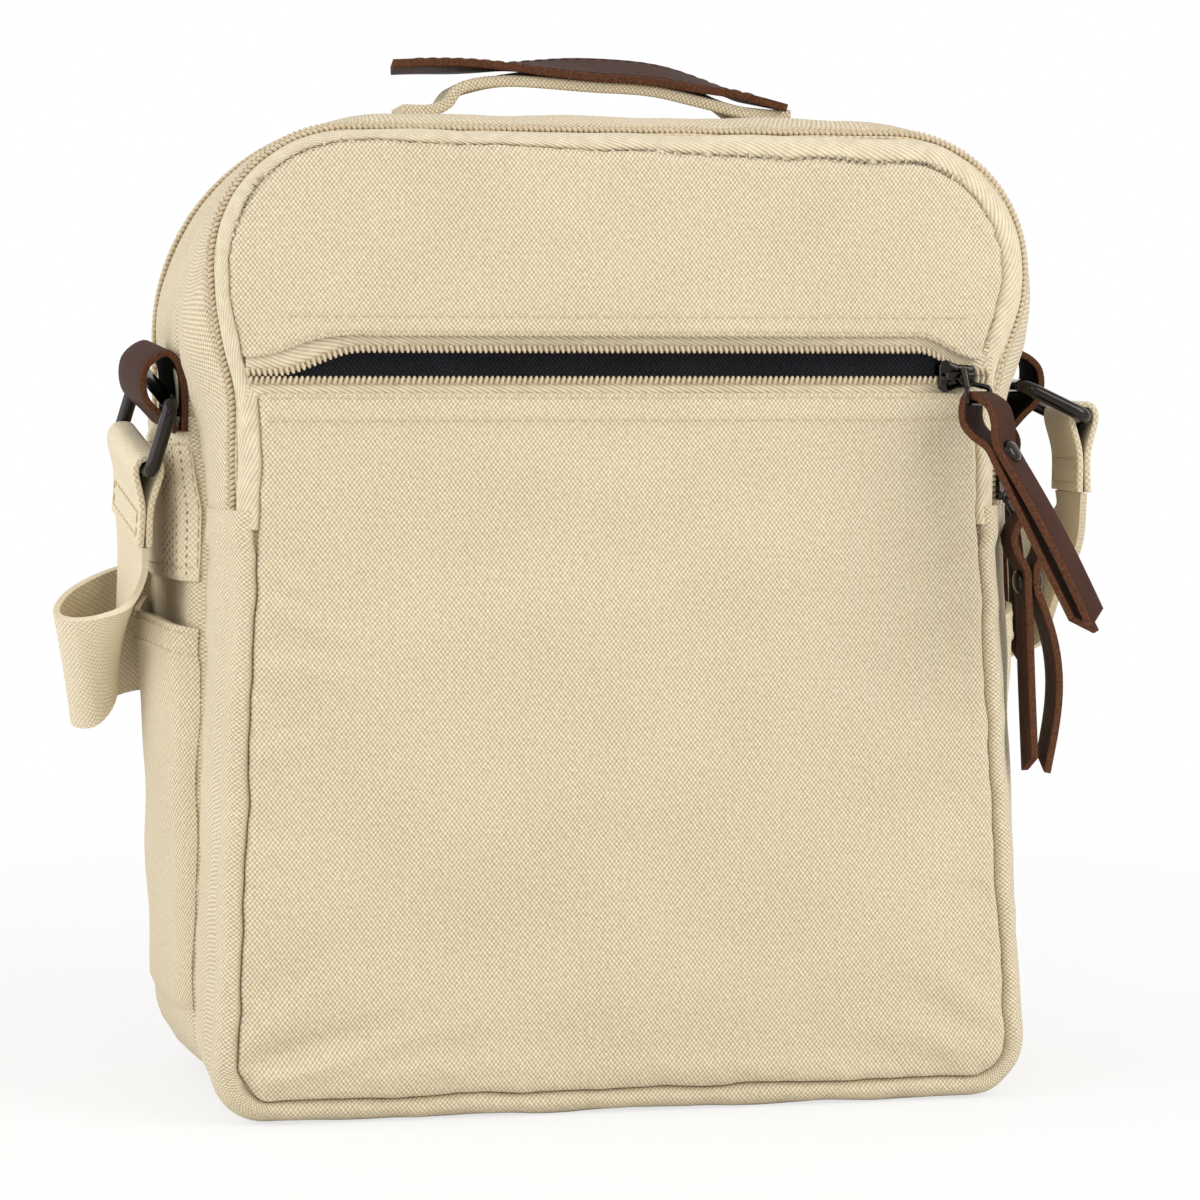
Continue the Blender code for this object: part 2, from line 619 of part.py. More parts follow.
def make_rivet(name, fold, down, side_dir):
    """A rivet with a domed head on each outer face of a pull."""
    under = LEATHER + GAP / 2 + GAP
    head = RIVET_HEAD / 2
    half = [(head, under), (head * 0.94, under + 0.6), (head * 0.55, under + 1.1), (0.0, under + 1.25)]
    profile = [(r, -p) for r, p in reversed(half)] + [(RIVET_SHANK / 2, -under), (RIVET_SHANK / 2, under)] + half
    at = np.array(fold, float) + np.array(down, float) * RIVET_FROM_FOLD
    return make_turned(name, profile, at, side_dir, GUNMETAL)


def make_pull_set(prefix, lean_deg, axis_point, facing=(1.0, 0.0, 0.0)):
    """A pull and its rivet, hung on the link's lower bar; the pull leans the way that it faces."""
    lean = math.radians(lean_deg)
    facing = np.array(facing, float)
    upright = np.array((0.0, 0.0, 1.0))
    down = math.sin(lean) * facing - math.cos(lean) * upright
    fold = axis_point - down * BAR_TO_FOLD
    side_dir = math.cos(lean) * facing + math.sin(lean) * upright
    for piece in (make_pull(prefix + "_pull", fold, down, side_dir),
                  make_rivet(prefix + "_pull_rivet", fold, down, side_dir)):
        hang_on(piece, axis_point, prefix + "_pull_axis")



# Pocket slider: it runs along the mouth, and its link hangs round the bridge
POCKET_SLIDER = (POCKET_SLIDER_X, POCKET_COIL_Y, POCKET_ZIP_Z)
pocket_post_shift = -mouth_lift(POCKET_SLIDER_X - POST_AT) / 2
hang_on(make_slider("pocket_slider", POCKET_SLIDER, (-1, 0, 0), (0, -1, 0), pocket_post_shift), POCKET_SLIDER,
        "pocket_slide_axis")
bridge_y = POCKET_COIL_Y - BRIDGE_MIDDLE
BAR_CLEAR = BRIDGE_BAR / 2 + LINK_HALF + 1.7 * GAP
link_top = POCKET_ZIP_Z + BRIDGE_WIDTH / 2 + LINK_HALF + GAP
link_low = POCKET_ZIP_Z - POCKET_LINK_DROP
link_near = bridge_y + BAR_CLEAR
link_far = bridge_y - BAR_CLEAR
pocket_turn = math.radians(POCKET_PULL_TURN_DEG)
pocket_facing = (math.cos(pocket_turn), -math.sin(pocket_turn), 0.0)
pocket_bar = np.array((POCKET_SLIDER_X + POCKET_LINK_ASIDE, bridge_y - POCKET_LINK_OUT, link_low))
half_bar = np.array((math.sin(pocket_turn), math.cos(pocket_turn), 0.0)) * ((PULL_WIDTH + LINK_WIRE) / 2 + GAP)
bar_end = pocket_bar - half_bar
link_corners = [(POCKET_SLIDER_X, link_near, link_top),
                (POCKET_SLIDER_X, link_near, POCKET_ZIP_Z - POCKET_LINK_DROP * 0.2),
                tuple(pocket_bar + half_bar + (0, 0, POCKET_LINK_DROP * 0.57)),
                tuple(pocket_bar + half_bar), tuple(bar_end),
                (bar_end[0], bar_end[1], link_low + POCKET_LINK_DROP * 0.5), (POCKET_SLIDER_X, link_far, link_top)]
link_plane = (math.cos(pocket_turn / 2), -math.sin(pocket_turn / 2), 0.0)
pocket_link = make_wire_loop("pocket_link", wire_loop_points(link_corners, LINK_WIRE), link_plane, LINK_WIRE,
                             GUNMETAL)
hang_on(pocket_link, (POCKET_SLIDER_X, bridge_y, POCKET_ZIP_Z), "pocket_link_axis")
make_pull_set("pocket", POCKET_PULL_LEAN_DEG, pocket_bar, pocket_facing)


# Front and main sliders: they run on the straight right side, and their links pass under the bridge
def make_side_slider(prefix, coil_y, path, slider_z):
    """A slider on an arched zip, with its link and pull hanging down the bag's side."""
    line = path(coil_y)
    low, high = line[-1], line[-2]
    run = (low - high) / np.linalg.norm(low - high)
    out = np.array((-run[1], run[0]))
    spot = high + run * (high[1] - slider_z) / -run[1] + out * (COIL_LIFT - COIL_THICKNESS / 2)
    centre = np.array((spot[0], coil_y, spot[1]))
    travel = np.array((run[0], 0, run[1]))
    outward = np.array((out[0], 0, out[1]))
    hang_on(make_slider(prefix + "_slider", centre, travel, outward), centre, prefix + "_slide_axis")
    under_bar = centre + outward * (PLATE_OUTER + BRIDGE_RISE / 2) + travel * (BRIDGE_HALF - BRIDGE_BAR
                                                                              - LINK_HALF - GAP)
    half = (PULL_WIDTH + LINK_WIRE) / 2 + GAP
    low_bar = under_bar + np.array((SIDE_LINK_OUT, 0.0, -LINK_DROP))
    corners = [under_bar + (0, -half, 0), low_bar + (0, -half, 0), low_bar + (0, half, 0),
               under_bar + (0, half, 0)]
    plane = np.cross(low_bar - under_bar, (0.0, 1.0, 0.0))
    link = make_wire_loop(prefix + "_link", wire_loop_points(corners, LINK_WIRE), plane, LINK_WIRE, GUNMETAL)
    hang_on(link, under_bar, prefix + "_link_axis")
    make_pull_set(prefix, SIDE_PULL_LEAN_DEG, low_bar)


make_side_slider("front", FRONT_COIL_Y, above_waist, FRONT_SLIDER_Z)
make_side_slider("main", MAIN_COIL_Y, above_main_end, MAIN_SLIDER_Z)


# Sides: slip pockets, webbing patches, leather tabs and rings
SIDE_EDGE = 1.0
SIDE_DEPTHS = depths_between(MAIN_GUSSET_START + SIDE_EDGE, MAIN_GUSSET_END - SIDE_EDGE)


def thick_line(path, thickness):
    """A closed outline round a line."""
    return np.vstack((offset_path(path, thickness / 2), offset_path(path, -thickness / 2)[::-1]))


def make_side_profile(name, hand, profile, depths, side, material, rise=0.0):
    """A piece of one profile, counted outwards from side(y, z), carried from front to back as it rises."""
    rows = [[(hand * (side(y, z) + u), y, z + rise * (y - RING_Y)) for u, z in profile] for y in depths]
    count = len(profile)
    points = [p for row in rows for p in row]
    faces = [tuple(range(count)), tuple(range(len(points) - count, len(points)))]
    for r in range(len(rows) - 1):
        for c in range(count):
            d = (c + 1) % count
            faces.append((r * count + c, r * count + d, (r + 1) * count + d, (r + 1) * count + c))
    return make_solid(name, points, faces, material)


def tab_side(y, z):
    """Half width under the tab, which is straight from front to back and touches at its rear edge."""
    rear = RING_Y + TAB_WIDTH / 2
    return side_x(rear, z + TAB_RISE_SLOPE * (rear - RING_Y)) - TAB_YAW_SLOPE * (rear - y)


def make_side_pocket(name, hand):
    """An open-topped slip pocket, sewn to the gusset at both edges and below."""
    depths = np.union1d(SIDE_DEPTHS, np.linspace(PLATEAU_Y, PLATEAU_Y + PLATEAU_DEPTH, 4))
    outer = []
    inner = []
    for z in POCKET_HEIGHTS:
        rise = (z - SIDE_POCKET_BOTTOM_Z) / (SIDE_POCKET_TOP_Z - SIDE_POCKET_BOTTOM_Z)
        for rows, extra in ((outer, CANVAS), (inner, 0.0)):
            row = []
            for y in depths:
                across = (y - depths[0]) / (depths[-1] - depths[0])
                standoff = 2 * GAP + extra + SIDE_POCKET_STANDOFF * rise * math.sin(math.pi * across)
                row.append((hand * (side_x(y, z) + standoff), y, z))
            rows.append(row)
    return make_slab(name, outer, inner, CANVAS_CLOTH)


TAB_IN = GAP + TAB_LEATHER / 2
TAB_OUT = TAB_IN + TAB_LEATHER + GAP
TAB_FOOT_Z = PATCH_TOP_Z + GAP + TAB_RISE_SLOPE * TAB_WIDTH / 2
PATCH_MIDDLE = 2 * GAP + WEBBING / 2
TAB_BULGE = 11.5
RING_BAR_OUT = GAP + TAB_LEATHER + GAP + RING_WIRE / 2 + 1.2
RING_BAR_Z = PATCH_TOP_Z + 12.3
TAB_PATH = [(TAB_IN, TAB_FOOT_Z), (TAB_IN, RING_BAR_Z), (TAB_IN + 1.5, TAB_TOP_Z - 4),
            (TAB_IN + 5, TAB_TOP_Z - TAB_LEATHER / 2), (TAB_BULGE, TAB_TOP_Z - 5), (TAB_BULGE, RING_BAR_Z - 1.5),
            (TAB_OUT + 3.2, RING_BAR_Z - 7), (TAB_OUT, TAB_FOOT_Z)]
PATCH_PATH = [(PATCH_MIDDLE, PATCH_BOTTOM_Z), (PATCH_MIDDLE, WAIST_Z), (PATCH_MIDDLE, PATCH_TOP_Z)]
RING_HALF = (RING_INSIDE + RING_WIRE) / 2
TAB_DEPTHS = (RING_Y - TAB_WIDTH / 2, RING_Y + TAB_WIDTH / 2)
ring_bars = {}
for word, hand, swing_deg, slope in (("left", -1, LEFT_RING_SWING_DEG, LEFT_RING_SLOPE),
                                     ("right", 1, RIGHT_RING_SWING_DEG, RIGHT_RING_SLOPE)):
    make_side_pocket("side_pocket_" + word, hand)
    make_side_profile("side_patch_" + word, hand, thick_line(PATCH_PATH, WEBBING), SIDE_DEPTHS, side_x,
                      COTTON_WEBBING)
    tab_line = smooth_curve(TAB_PATH, 2)
    make_side_profile("ring_tab_" + word, hand, thick_line(tab_line, TAB_LEATHER), TAB_DEPTHS, tab_side,
                      BROWN_LEATHER, TAB_RISE_SLOPE)
    bar = np.array((hand * (tab_side(RING_Y, RING_BAR_Z) + RING_BAR_OUT), RING_Y, RING_BAR_Z))
    swing = math.radians(swing_deg)
    along = np.array((hand * TAB_YAW_SLOPE, 1.0, slope))
    along /= np.linalg.norm(along)
    upward = np.array((0.0, 0.0, 1.0)) - along[2] * along
    upward /= np.linalg.norm(upward)
    outward = hand * np.cross(along, upward)
    drop = (math.sin(swing) * outward - math.cos(swing) * upward) * RING_DROP
    across = along * RING_HALF
    loop = wire_loop_points([bar - across, bar - across + drop, bar + across + drop, bar + across], RING_CORNER)
    ring = make_wire_loop("ring_" + word, loop, np.cross(drop, across), RING_WIRE, GUNMETAL)
    hang_on(ring, bar, "ring_axis_" + word)
    ring_bars[word] = (bar, bar + drop, along, upward, outward)

# Carry handle: a canvas strap sewn to the top band, under a leather cover
handle_base = section(HANDLE_Y + HANDLE_STRAP_WIDTH / 2)[4]
STRAP_MIDDLE = GAP + HANDLE_STRAP / 2
HANDLE_SIDE = [(HANDLE_HALF_SPAN, STRAP_MIDDLE), (HANDLE_HALF_SPAN - HANDLE_FOOT * 0.5, STRAP_MIDDLE),
               (HANDLE_HALF_SPAN - HANDLE_FOOT, STRAP_MIDDLE + 1.0),
               (HANDLE_HALF_SPAN - HANDLE_FOOT * 1.4, HANDLE_RISE * 0.6),
               (HANDLE_HALF_SPAN - HANDLE_FOOT * 2.2, HANDLE_RISE * 0.95)]
handle_line = smooth_curve([(-x, z) for x, z in HANDLE_SIDE] + [(0.0, HANDLE_RISE + 1.0)]
                           + list(reversed(HANDLE_SIDE)), 3)


def handle_point(x, z):
    return x, HANDLE_Y, handle_base + z


make_ribbon("handle_strap", [handle_point(x, z) for x, z in handle_line], (0, 1, 0), HANDLE_STRAP_WIDTH,
            HANDLE_STRAP, CANVAS_CLOTH)
cover_lift = HANDLE_STRAP / 2 + GAP + LEATHER / 2
COVER_SIDE = [(HANDLE_COVER_HALF, HANDLE_RISE * 0.62), (HANDLE_COVER_HALF * 0.72, HANDLE_RISE * 0.98),
              (HANDLE_COVER_HALF * 0.4, HANDLE_RISE + 0.7)]
cover_line = smooth_curve([(-x, z + cover_lift) for x, z in COVER_SIDE] + [(0.0, HANDLE_RISE + 1.0 + cover_lift)]
                          + [(x, z + cover_lift) for x, z in reversed(COVER_SIDE)], 3)
make_ribbon("handle_cover", [handle_point(x, z) for x, z in cover_line], (0, 1, 0), HANDLE_COVER_WIDTH, LEATHER,
            BROWN_LEATHER)

# Shoulder strap: an end loop on each ring, and the long run put away behind the bag
WRAP = RING_WIRE / 2 + GAP + WEBBING / 2
LAYER = WEBBING / 2 + GAP / 2
LOOP_TAIL = 21.0


def loop_route(bar, upward, outward, drop_to):
    """Webbing once round a ring's lower bar, with both layers brought together below it."""
    side = [(LAYER, -drop_to), (LAYER, -WRAP - 7.0), (WRAP, -1.0), (WRAP * 0.75, WRAP * 0.75)]
    flat = smooth_curve(side + [(0.0, WRAP)] + [(-u, v) for u, v in reversed(side)], 2)
    return [bar + u * outward + v * upward for u, v in flat]


loop_ends = {}
for word in ("left", "right"):
    bar, low_bar, along, upward, outward = ring_bars[word]
    loop = make_ribbon("strap_loop_" + word, loop_route(low_bar, upward, outward, LOOP_TAIL), along, WEBBING_WIDTH,
                       WEBBING, COTTON_WEBBING)
    hang_on(loop, bar, "ring_axis_" + word)
    end = low_bar - upward * (LOOP_TAIL + GAP)
    loop_ends[word] = (tuple(end - along * WEBBING_WIDTH / 2), tuple(end + along * WEBBING_WIDTH / 2))

# The run's front or upper edge and its other edge, from the left loop to the folds behind the bag
LEFT_ROUTE = [loop_ends["left"], ((-123.5, -4.0, 139.0), (-127.5, 30.0, 141.0)),
              ((-127.5, -4.0, 131.5), (-128.5, 29.0, 117.0)), ((-135.0, 2.0, 128.0), (-129.5, 29.0, 104.0)),
              ((-142.0, 9.0, 127.0), (-134.0, 30.0, 97.0)), ((-145.5, 18.0, 128.5), (-139.0, 36.0, 96.0)),
              ((-142.0, 28.0, 133.0), (-139.0, 44.0, 98.5)), ((-133.0, 36.0, 137.5), (-131.0, 50.0, 102.0)),
              ((-122.0, 46.0, 140.0), (-120.0, 58.0, 104.0)), ((-110.0, 57.0, 139.0), (-106.0, 64.0, 102.0)),
              ((-86.0, 61.0, 131.0), (-94.0, 64.0, 94.0)), ((-40.5, 61.0, 108.5), (-59.5, 61.0, 75.5)),
              ((9.5, 61.0, 76.5), (-9.5, 61.0, 43.5)), ((47.0, 61.0, 50.5), (33.0, 61.0, 15.5)),
              ((66.0, 61.0, 39.5), (66.0, 61.0, 1.5))]
# The same from the folds to the right loop, with half a turn on the way
RIGHT_ROUTE = [((-50.7, 86.6, 39.0), (-39.0, 90.4, 3.0)), ((-20.6, 76.5, 56.0), (-3.4, 95.5, 28.0)),
               ((20.0, 60.0, 60.0), (12.0, 97.0, 64.0)), ((49.0, 62.0, 70.0), (33.0, 83.0, 97.0)),
               ((72.0, 66.0, 85.0), (58.0, 74.0, 119.0)), ((95.0, 68.0, 95.0), (87.0, 71.0, 132.0)),
               ((115.0, 65.0, 103.0), (111.0, 71.0, 140.0)), ((131.0, 53.0, 109.0), (130.0, 63.0, 145.5)),
               ((137.0, 34.0, 115.0), (139.5, 49.0, 149.5)), ((133.0, 16.0, 121.0), (140.5, 38.0, 151.0)),
               ((131.5, 2.0, 131.0), (140.0, 31.0, 153.0)), ((134.5, -7.5, 145.0), (140.5, 28.0, 155.5)),
               loop_ends["right"]]
FOLD_RUNS = 4
FOLD_HALF_LENGTH = 82.0
FOLD_FIRST_Y = 61.0
FOLD_STEP = 6.0
FOLD_TURN_STEPS = 4
FLOOR_EDGE = GAP
TOP_EDGE = GAP + WEBBING_WIDTH


def folded_runs():
    """Runs on edge behind the bag, joined by tight half turns at alternate ends."""
    spots = []
    for k in range(FOLD_RUNS):
        y = FOLD_FIRST_Y + FOLD_STEP * (k + 0.5)
        outward = 1 if k % 2 == 0 else -1
        for turn in np.linspace(-math.pi / 2, math.pi / 2, FOLD_TURN_STEPS + 1):
            spots.append((outward * (FOLD_HALF_LENGTH + FOLD_STEP / 2 * math.cos(turn)),
                          y + FOLD_STEP / 2 * math.sin(turn)))
        spots.append((-outward * FOLD_HALF_LENGTH / 2, y + FOLD_STEP / 2))
    return [((x, y, TOP_EDGE), (x, y, FLOOR_EDGE)) for x, y in spots[:-1]]


edges = smooth_curve([first + second for first, second in LEFT_ROUTE + folded_runs() + RIGHT_ROUTE], 3)
make_band("strap_run", edges[:, :3], edges[:, 3:], WEBBING, COTTON_WEBBING)
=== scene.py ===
"""A khaki canvas shoulder bag with two zipped compartments, a zipped front pocket and a webbing strap.

Pieces are worked out in millimetres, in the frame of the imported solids, and become metres in their meshes.
"""
import math

import bpy
import numpy as np
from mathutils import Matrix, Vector


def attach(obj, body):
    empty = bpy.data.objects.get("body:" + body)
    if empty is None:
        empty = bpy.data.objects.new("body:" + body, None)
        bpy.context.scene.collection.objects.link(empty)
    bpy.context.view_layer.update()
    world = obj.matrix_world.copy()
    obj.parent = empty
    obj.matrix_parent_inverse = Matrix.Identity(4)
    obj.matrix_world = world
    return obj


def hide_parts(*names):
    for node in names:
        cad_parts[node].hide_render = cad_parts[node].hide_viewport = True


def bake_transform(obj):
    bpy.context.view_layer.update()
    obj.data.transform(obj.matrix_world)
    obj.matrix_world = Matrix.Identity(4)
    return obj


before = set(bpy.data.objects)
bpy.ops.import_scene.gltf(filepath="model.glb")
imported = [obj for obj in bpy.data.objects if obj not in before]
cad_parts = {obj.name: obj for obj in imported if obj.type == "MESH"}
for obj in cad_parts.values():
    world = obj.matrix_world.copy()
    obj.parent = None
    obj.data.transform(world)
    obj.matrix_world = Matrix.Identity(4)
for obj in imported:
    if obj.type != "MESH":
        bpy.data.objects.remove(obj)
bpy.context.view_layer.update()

# The studio is a pale floor in a white room, with a wide lamp over the front right and another on the left.
# A small lamp in front gives the metal its highlights. Only camera and glass rays see the full white.
MM = 0.001


def node(tree, kind, inputs=None, **settings):
    """A shader node with its settings, and its inputs set to values or joined to other nodes."""
    made = tree.nodes.new(kind)
    for key, value in settings.items():
        setattr(made, key, value)
    for key, value in (inputs or {}).items():
        if isinstance(value, bpy.types.NodeSocket):
            tree.links.new(value, made.inputs[key])
        else:
            made.inputs[key].default_value = value
    return made


def seen_white(tree):
    """One for a ray straight from the camera or through glass, and nought for light that falls on the bag."""
    path = node(tree, "ShaderNodeLightPath")
    rays = {0: path.outputs["Is Camera Ray"], 1: path.outputs["Is Transmission Ray"]}
    return node(tree, "ShaderNodeMath", rays, operation="MAXIMUM").outputs[0]


WHITE = (1.0, 1.0, 1.0, 1.0)
room = bpy.data.worlds.new("white_room")
bpy.context.scene.world = room
room.use_nodes = True
room_tree = room.node_tree
room_tree.nodes.clear()
room_lit = node(room_tree, "ShaderNodeBackground", {"Color": (1.0, 0.99, 0.98, 1.0), "Strength": 0.75})
room_seen = node(room_tree, "ShaderNodeBackground", {"Color": WHITE, "Strength": 1.0})
room_mix = node(room_tree, "ShaderNodeMixShader",
                {0: seen_white(room_tree), 1: room_lit.outputs[0], 2: room_seen.outputs[0]})
node(room_tree, "ShaderNodeOutputWorld", {"Surface": room_mix.outputs[0]})

FLOOR_HALF = 2.5
floor_mesh = bpy.data.meshes.new("studio_floor")
floor_mesh.from_pydata([(-FLOOR_HALF, -FLOOR_HALF, 0), (FLOOR_HALF, -FLOOR_HALF, 0),
                        (FLOOR_HALF, FLOOR_HALF, 0), (-FLOOR_HALF, FLOOR_HALF, 0)], [], [(0, 1, 2, 3)])
floor_finish = bpy.data.materials.new("pale_floor")
floor_finish.use_nodes = True
floor_tree = floor_finish.node_tree
floor_tree.nodes.clear()
floor_paint = node(floor_tree, "ShaderNodeBsdfDiffuse", {"Color": (0.86, 0.855, 0.84, 1.0)})
floor_glow = node(floor_tree, "ShaderNodeEmission", {"Color": WHITE, "Strength": 1.0})
floor_spot = node(floor_tree, "ShaderNodeTexCoord").outputs["Object"]
floor_far = node(floor_tree, "ShaderNodeVectorMath", {0: floor_spot}, operation="LENGTH").outputs["Value"]
floor_glows = node(floor_tree, "ShaderNodeMapRange", {0: floor_far, 1: 0.2, 2: 0.8, 3: 0.72, 4: 1.0},
                   interpolation_type="SMOOTHSTEP")
floor_share = node(floor_tree, "ShaderNodeMath", {0: seen_white(floor_tree), 1: floor_glows.outputs[0]},
                   operation="MULTIPLY")
floor_mix = node(floor_tree, "ShaderNodeMixShader",
                 {0: floor_share.outputs[0], 1: floor_paint.outputs[0], 2: floor_glow.outputs[0]})
node(floor_tree, "ShaderNodeOutputMaterial", {"Surface": floor_mix.outputs[0]})
floor_mesh.materials.append(floor_finish)
floor = bpy.data.objects.new("studio_floor", floor_mesh)
bpy.context.scene.collection.objects.link(floor)


def soft_lamp(name, place, target, size, power):
    """A square lamp at a place, turned to its target."""
    lamp = bpy.data.lights.new(name, "AREA")
    lamp.size = size
    lamp.energy = power
    stand = bpy.data.objects.new(name, lamp)
    stand.location = place
    stand.rotation_euler = (Vector(target) - Vector(place)).to_track_quat("-Z", "Y").to_euler()
    bpy.context.scene.collection.objects.link(stand)


BAG_MIDDLE = (0.0, 0.0, 0.13)
soft_lamp("lamp_over_right", (1.1, -0.95, 0.9), BAG_MIDDLE, 1.1, 14.0)
soft_lamp("lamp_left", (-1.3, -0.2, 0.55), BAG_MIDDLE, 1.5, 12.0)
soft_lamp("lamp_front", (-0.45, -1.4, 0.75), BAG_MIDDLE, 0.16, 1.0)

lens = bpy.data.cameras.new("camera")
lens.sensor_width = 36.0
lens.lens = 109.5
lens.shift_y = -0.1833
lens.clip_start = 0.05
lens.clip_end = 20.0
camera = bpy.data.objects.new("camera", lens)
camera.location = (-0.1894, -0.9769, 0.191)
camera.rotation_euler = (math.radians(90.0), 0.0, math.radians(-11.0))
bpy.context.scene.collection.objects.link(camera)
bpy.context.scene.camera = camera
bpy.context.scene.view_settings.view_transform = "Standard"

# The body is plain-woven cotton canvas, cut in panels and bands and sewn inside out, so a seam is a crease.
# A band's outline changes with depth: it is drawn in at the seams and swells between them.
CANVAS = 1.6
WAIST_Z = 157.0
FRONT_Y = -38.0
DIVIDER_Y = -8.0
FRONT_KNOTS = (FRONT_Y, -33.0, -27.0, -20.0, DIVIDER_Y)
MAIN_KNOTS = (DIVIDER_Y, 0.0, 24.0, 36.5, 46.5, 50.0)
# Half widths at the base, waist and top, bottom and top heights, top and bottom corner radii
DIVIDER_SECTION = (109.5, 104.9, 114.3, 0.0, 260.0, 58.0, 22.0)
FRONT_SECTIONS = np.array(((109.0, 101.6, 108.6, 0.0, 256.4, 36.0, 15.0),
                           (110.4, 104.2, 111.6, 0.0, 259.2, 44.0, 19.0),
                           (111.4, 106.4, 113.8, 0.0, 260.8, 51.0, 21.0),
                           (112.0, 107.0, 115.0, 0.0, 261.2, 56.0, 22.0), DIVIDER_SECTION))
MAIN_SECTIONS = np.array((DIVIDER_SECTION, (112.5, 112.0, 115.6, 0.0, 261.0, 59.0, 23.0),
                          (115.0, 115.2, 115.9, 0.0, 262.0, 60.0, 24.0),
                          (116.5, 117.0, 117.2, 0.0, 263.0, 60.0, 24.0),
                          (116.5, 117.0, 117.2, 0.0, 263.0, 60.0, 24.0),
                          (111.0, 110.5, 111.5, 5.0, 257.0, 54.0, 18.0)))


def easy_curve(at, knots, values):
    """A cubic through knots that never overshoots: a slope is the harmonic mean of the chords beside it."""
    at = np.asarray(at, float)
    knots = np.asarray(knots, float)
    gap = np.diff(knots)
    chord = np.diff(values) / gap
    both = chord[:-1] * chord[1:]
    total = chord[:-1] + chord[1:]
    inner = np.divide(2 * both, total, out=np.zeros_like(both), where=(both > 0))
    slope = np.concatenate((chord[:1], inner, chord[-1:]))
    k = np.clip(np.searchsorted(knots, at, side="right") - 1, 0, len(gap) - 1)
    t = (at - knots[k]) / gap[k]
    start = values[k] * (1 + 2 * t) * (1 - t) ** 2 + gap[k] * slope[k] * t * (1 - t) ** 2
    return start + values[k + 1] * t ** 2 * (3 - 2 * t) + gap[k] * slope[k + 1] * t ** 2 * (t - 1)


def section(y):
    """The outline sizes at depths y, a row of seven each; the divider seam is a crease between two curves."""
    y = np.atleast_1d(np.asarray(y, float))
    front = [easy_curve(np.clip(y, FRONT_Y, DIVIDER_Y), FRONT_KNOTS, column) for column in FRONT_SECTIONS.T]
    main = [easy_curve(np.maximum(y, DIVIDER_Y), MAIN_KNOTS, column) for column in MAIN_SECTIONS.T]
    return np.where(y[:, None] < DIVIDER_Y, np.stack(front, axis=1), np.stack(main, axis=1))


def smooth_step(share):
    """Nought to one with level ends."""
    share = np.clip(share, 0, 1)
    return share * share * (3 - 2 * share)


def side_x(y, z):
    """Half width at depths y (rows) and heights z: base, waist, top turn; at the front it flares late."""
    size = section(y)
    z = np.broadcast_to(np.asarray(z, float), (len(size), np.shape(z)[-1]))
    turn_z = size[:, 4:5] - size[:, 5:6]
    below = (z - size[:, 3:4]) / (WAIST_Z - size[:, 3:4])
    above = np.clip((z - WAIST_Z) / (turn_z - WAIST_Z), 0, 1)
    late = smooth_step((z - 182.0) / (turn_z - 184.0))
    above = above + (late - above) * np.clip((DIVIDER_Y - np.atleast_1d(y)) / 24.0, 0, 1)[:, None]
    low = size[:, 0:1] + (size[:, 1:2] - size[:, 0:1]) * below
    high = size[:, 1:2] + (size[:, 2:3] - size[:, 1:2]) * above
    return np.where(z < WAIST_Z, low, high)


def unit(vectors):
    """Vectors of length one."""
    return vectors / np.maximum(np.linalg.norm(vectors, axis=-1, keepdims=True), 1e-12)


def round_turn(corner, back, ahead, radius, count):
    """The arc of a radius that touches both sides of each corner: a blend of its two end radii by sines."""
    back = unit(back)
    ahead = unit(ahead)
    half = 0.5 * np.arccos(np.clip(np.sum(back * ahead, axis=1), -1, 1))
    centre = corner + unit(back + ahead) * (radius / np.sin(half))[:, None]
    first = corner + back * (radius / np.tan(half))[:, None] - centre
    last = corner + ahead * (radius / np.tan(half))[:, None] - centre
    sweep = (math.pi - 2 * half)[:, None, None]
    t = np.linspace(0, 1, count)[None, :, None]
    return centre[:, None] + (np.sin((1 - t) * sweep) * first[:, None]
                              + np.sin(t * sweep) * last[:, None]) / np.sin(sweep)


def between(first, last, count):
    """Points on lines from first to last, without the last."""
    t = np.linspace(0, 1, count, endpoint=False)[None, :, None]
    return first[:, None] * (1 - t) + last[:, None] * t


def over_top(y, start_z, counts=(26, 30, 60)):
    """The outline over the top at depths y, from the left side to the right: side, turn, top, turn, side."""
    size = section(y)
    down = np.stack((np.zeros(len(size)), -np.ones(len(size))), axis=1)
    turn = round_turn(size[:, [2, 4]], down, down[:, ::-1], size[:, 5], counts[1])
    z = start_z + (turn[:, :1, 1] - start_z) * np.linspace(0, 1, counts[0], endpoint=False)
    rise = np.stack((side_x(y, z), z), axis=2)
    half = np.concatenate((rise, turn), axis=1)
    mirror = half * (-1, 1)
    top = between(mirror[:, -1], half[:, -1], counts[2])[:, 1:]
    return np.concatenate((mirror, top, half[:, ::-1]), axis=1)


def under_base(y, start_z, counts=(76, 16, 90)):
    """The outline under the base at depths y, from the right side to the left."""
    size = section(y)
    corner = size[:, [0, 3]]
    waist_z = min(start_z, WAIST_Z)
    waist = np.stack((side_x(y, [waist_z])[:, 0], np.full(len(size), waist_z)), axis=1)
    level = np.stack((-np.ones(len(size)), np.zeros(len(size))), axis=1)
    turn = round_turn(corner, waist - corner, level, size[:, 6], counts[1])
    z = start_z + (turn[:, 0, 1:] - start_z) * np.linspace(0, 1, counts[0], endpoint=False)
    fall = np.stack((side_x(y, z), z), axis=2)
    half = np.concatenate((fall, turn), axis=1)
    mirror = half[:, ::-1] * (-1, 1)
    base = between(half[:, -1], mirror[:, 0], counts[2])[:, 1:]
    return np.concatenate((half, base, mirror), axis=1)


def aside(y, z):
    """The front edge sits up to 1.5 mm to the left between the base and the pocket's zip, less with depth."""
    share = (0.35 + 0.65 * smooth_step((z - 20.0) / 110.0)) * (1 - smooth_step((z - 192.0) / 22.0))
    return -1.5 * share * np.exp(-(np.maximum(y - FRONT_Y, 0.0) / 9.0) ** 2)


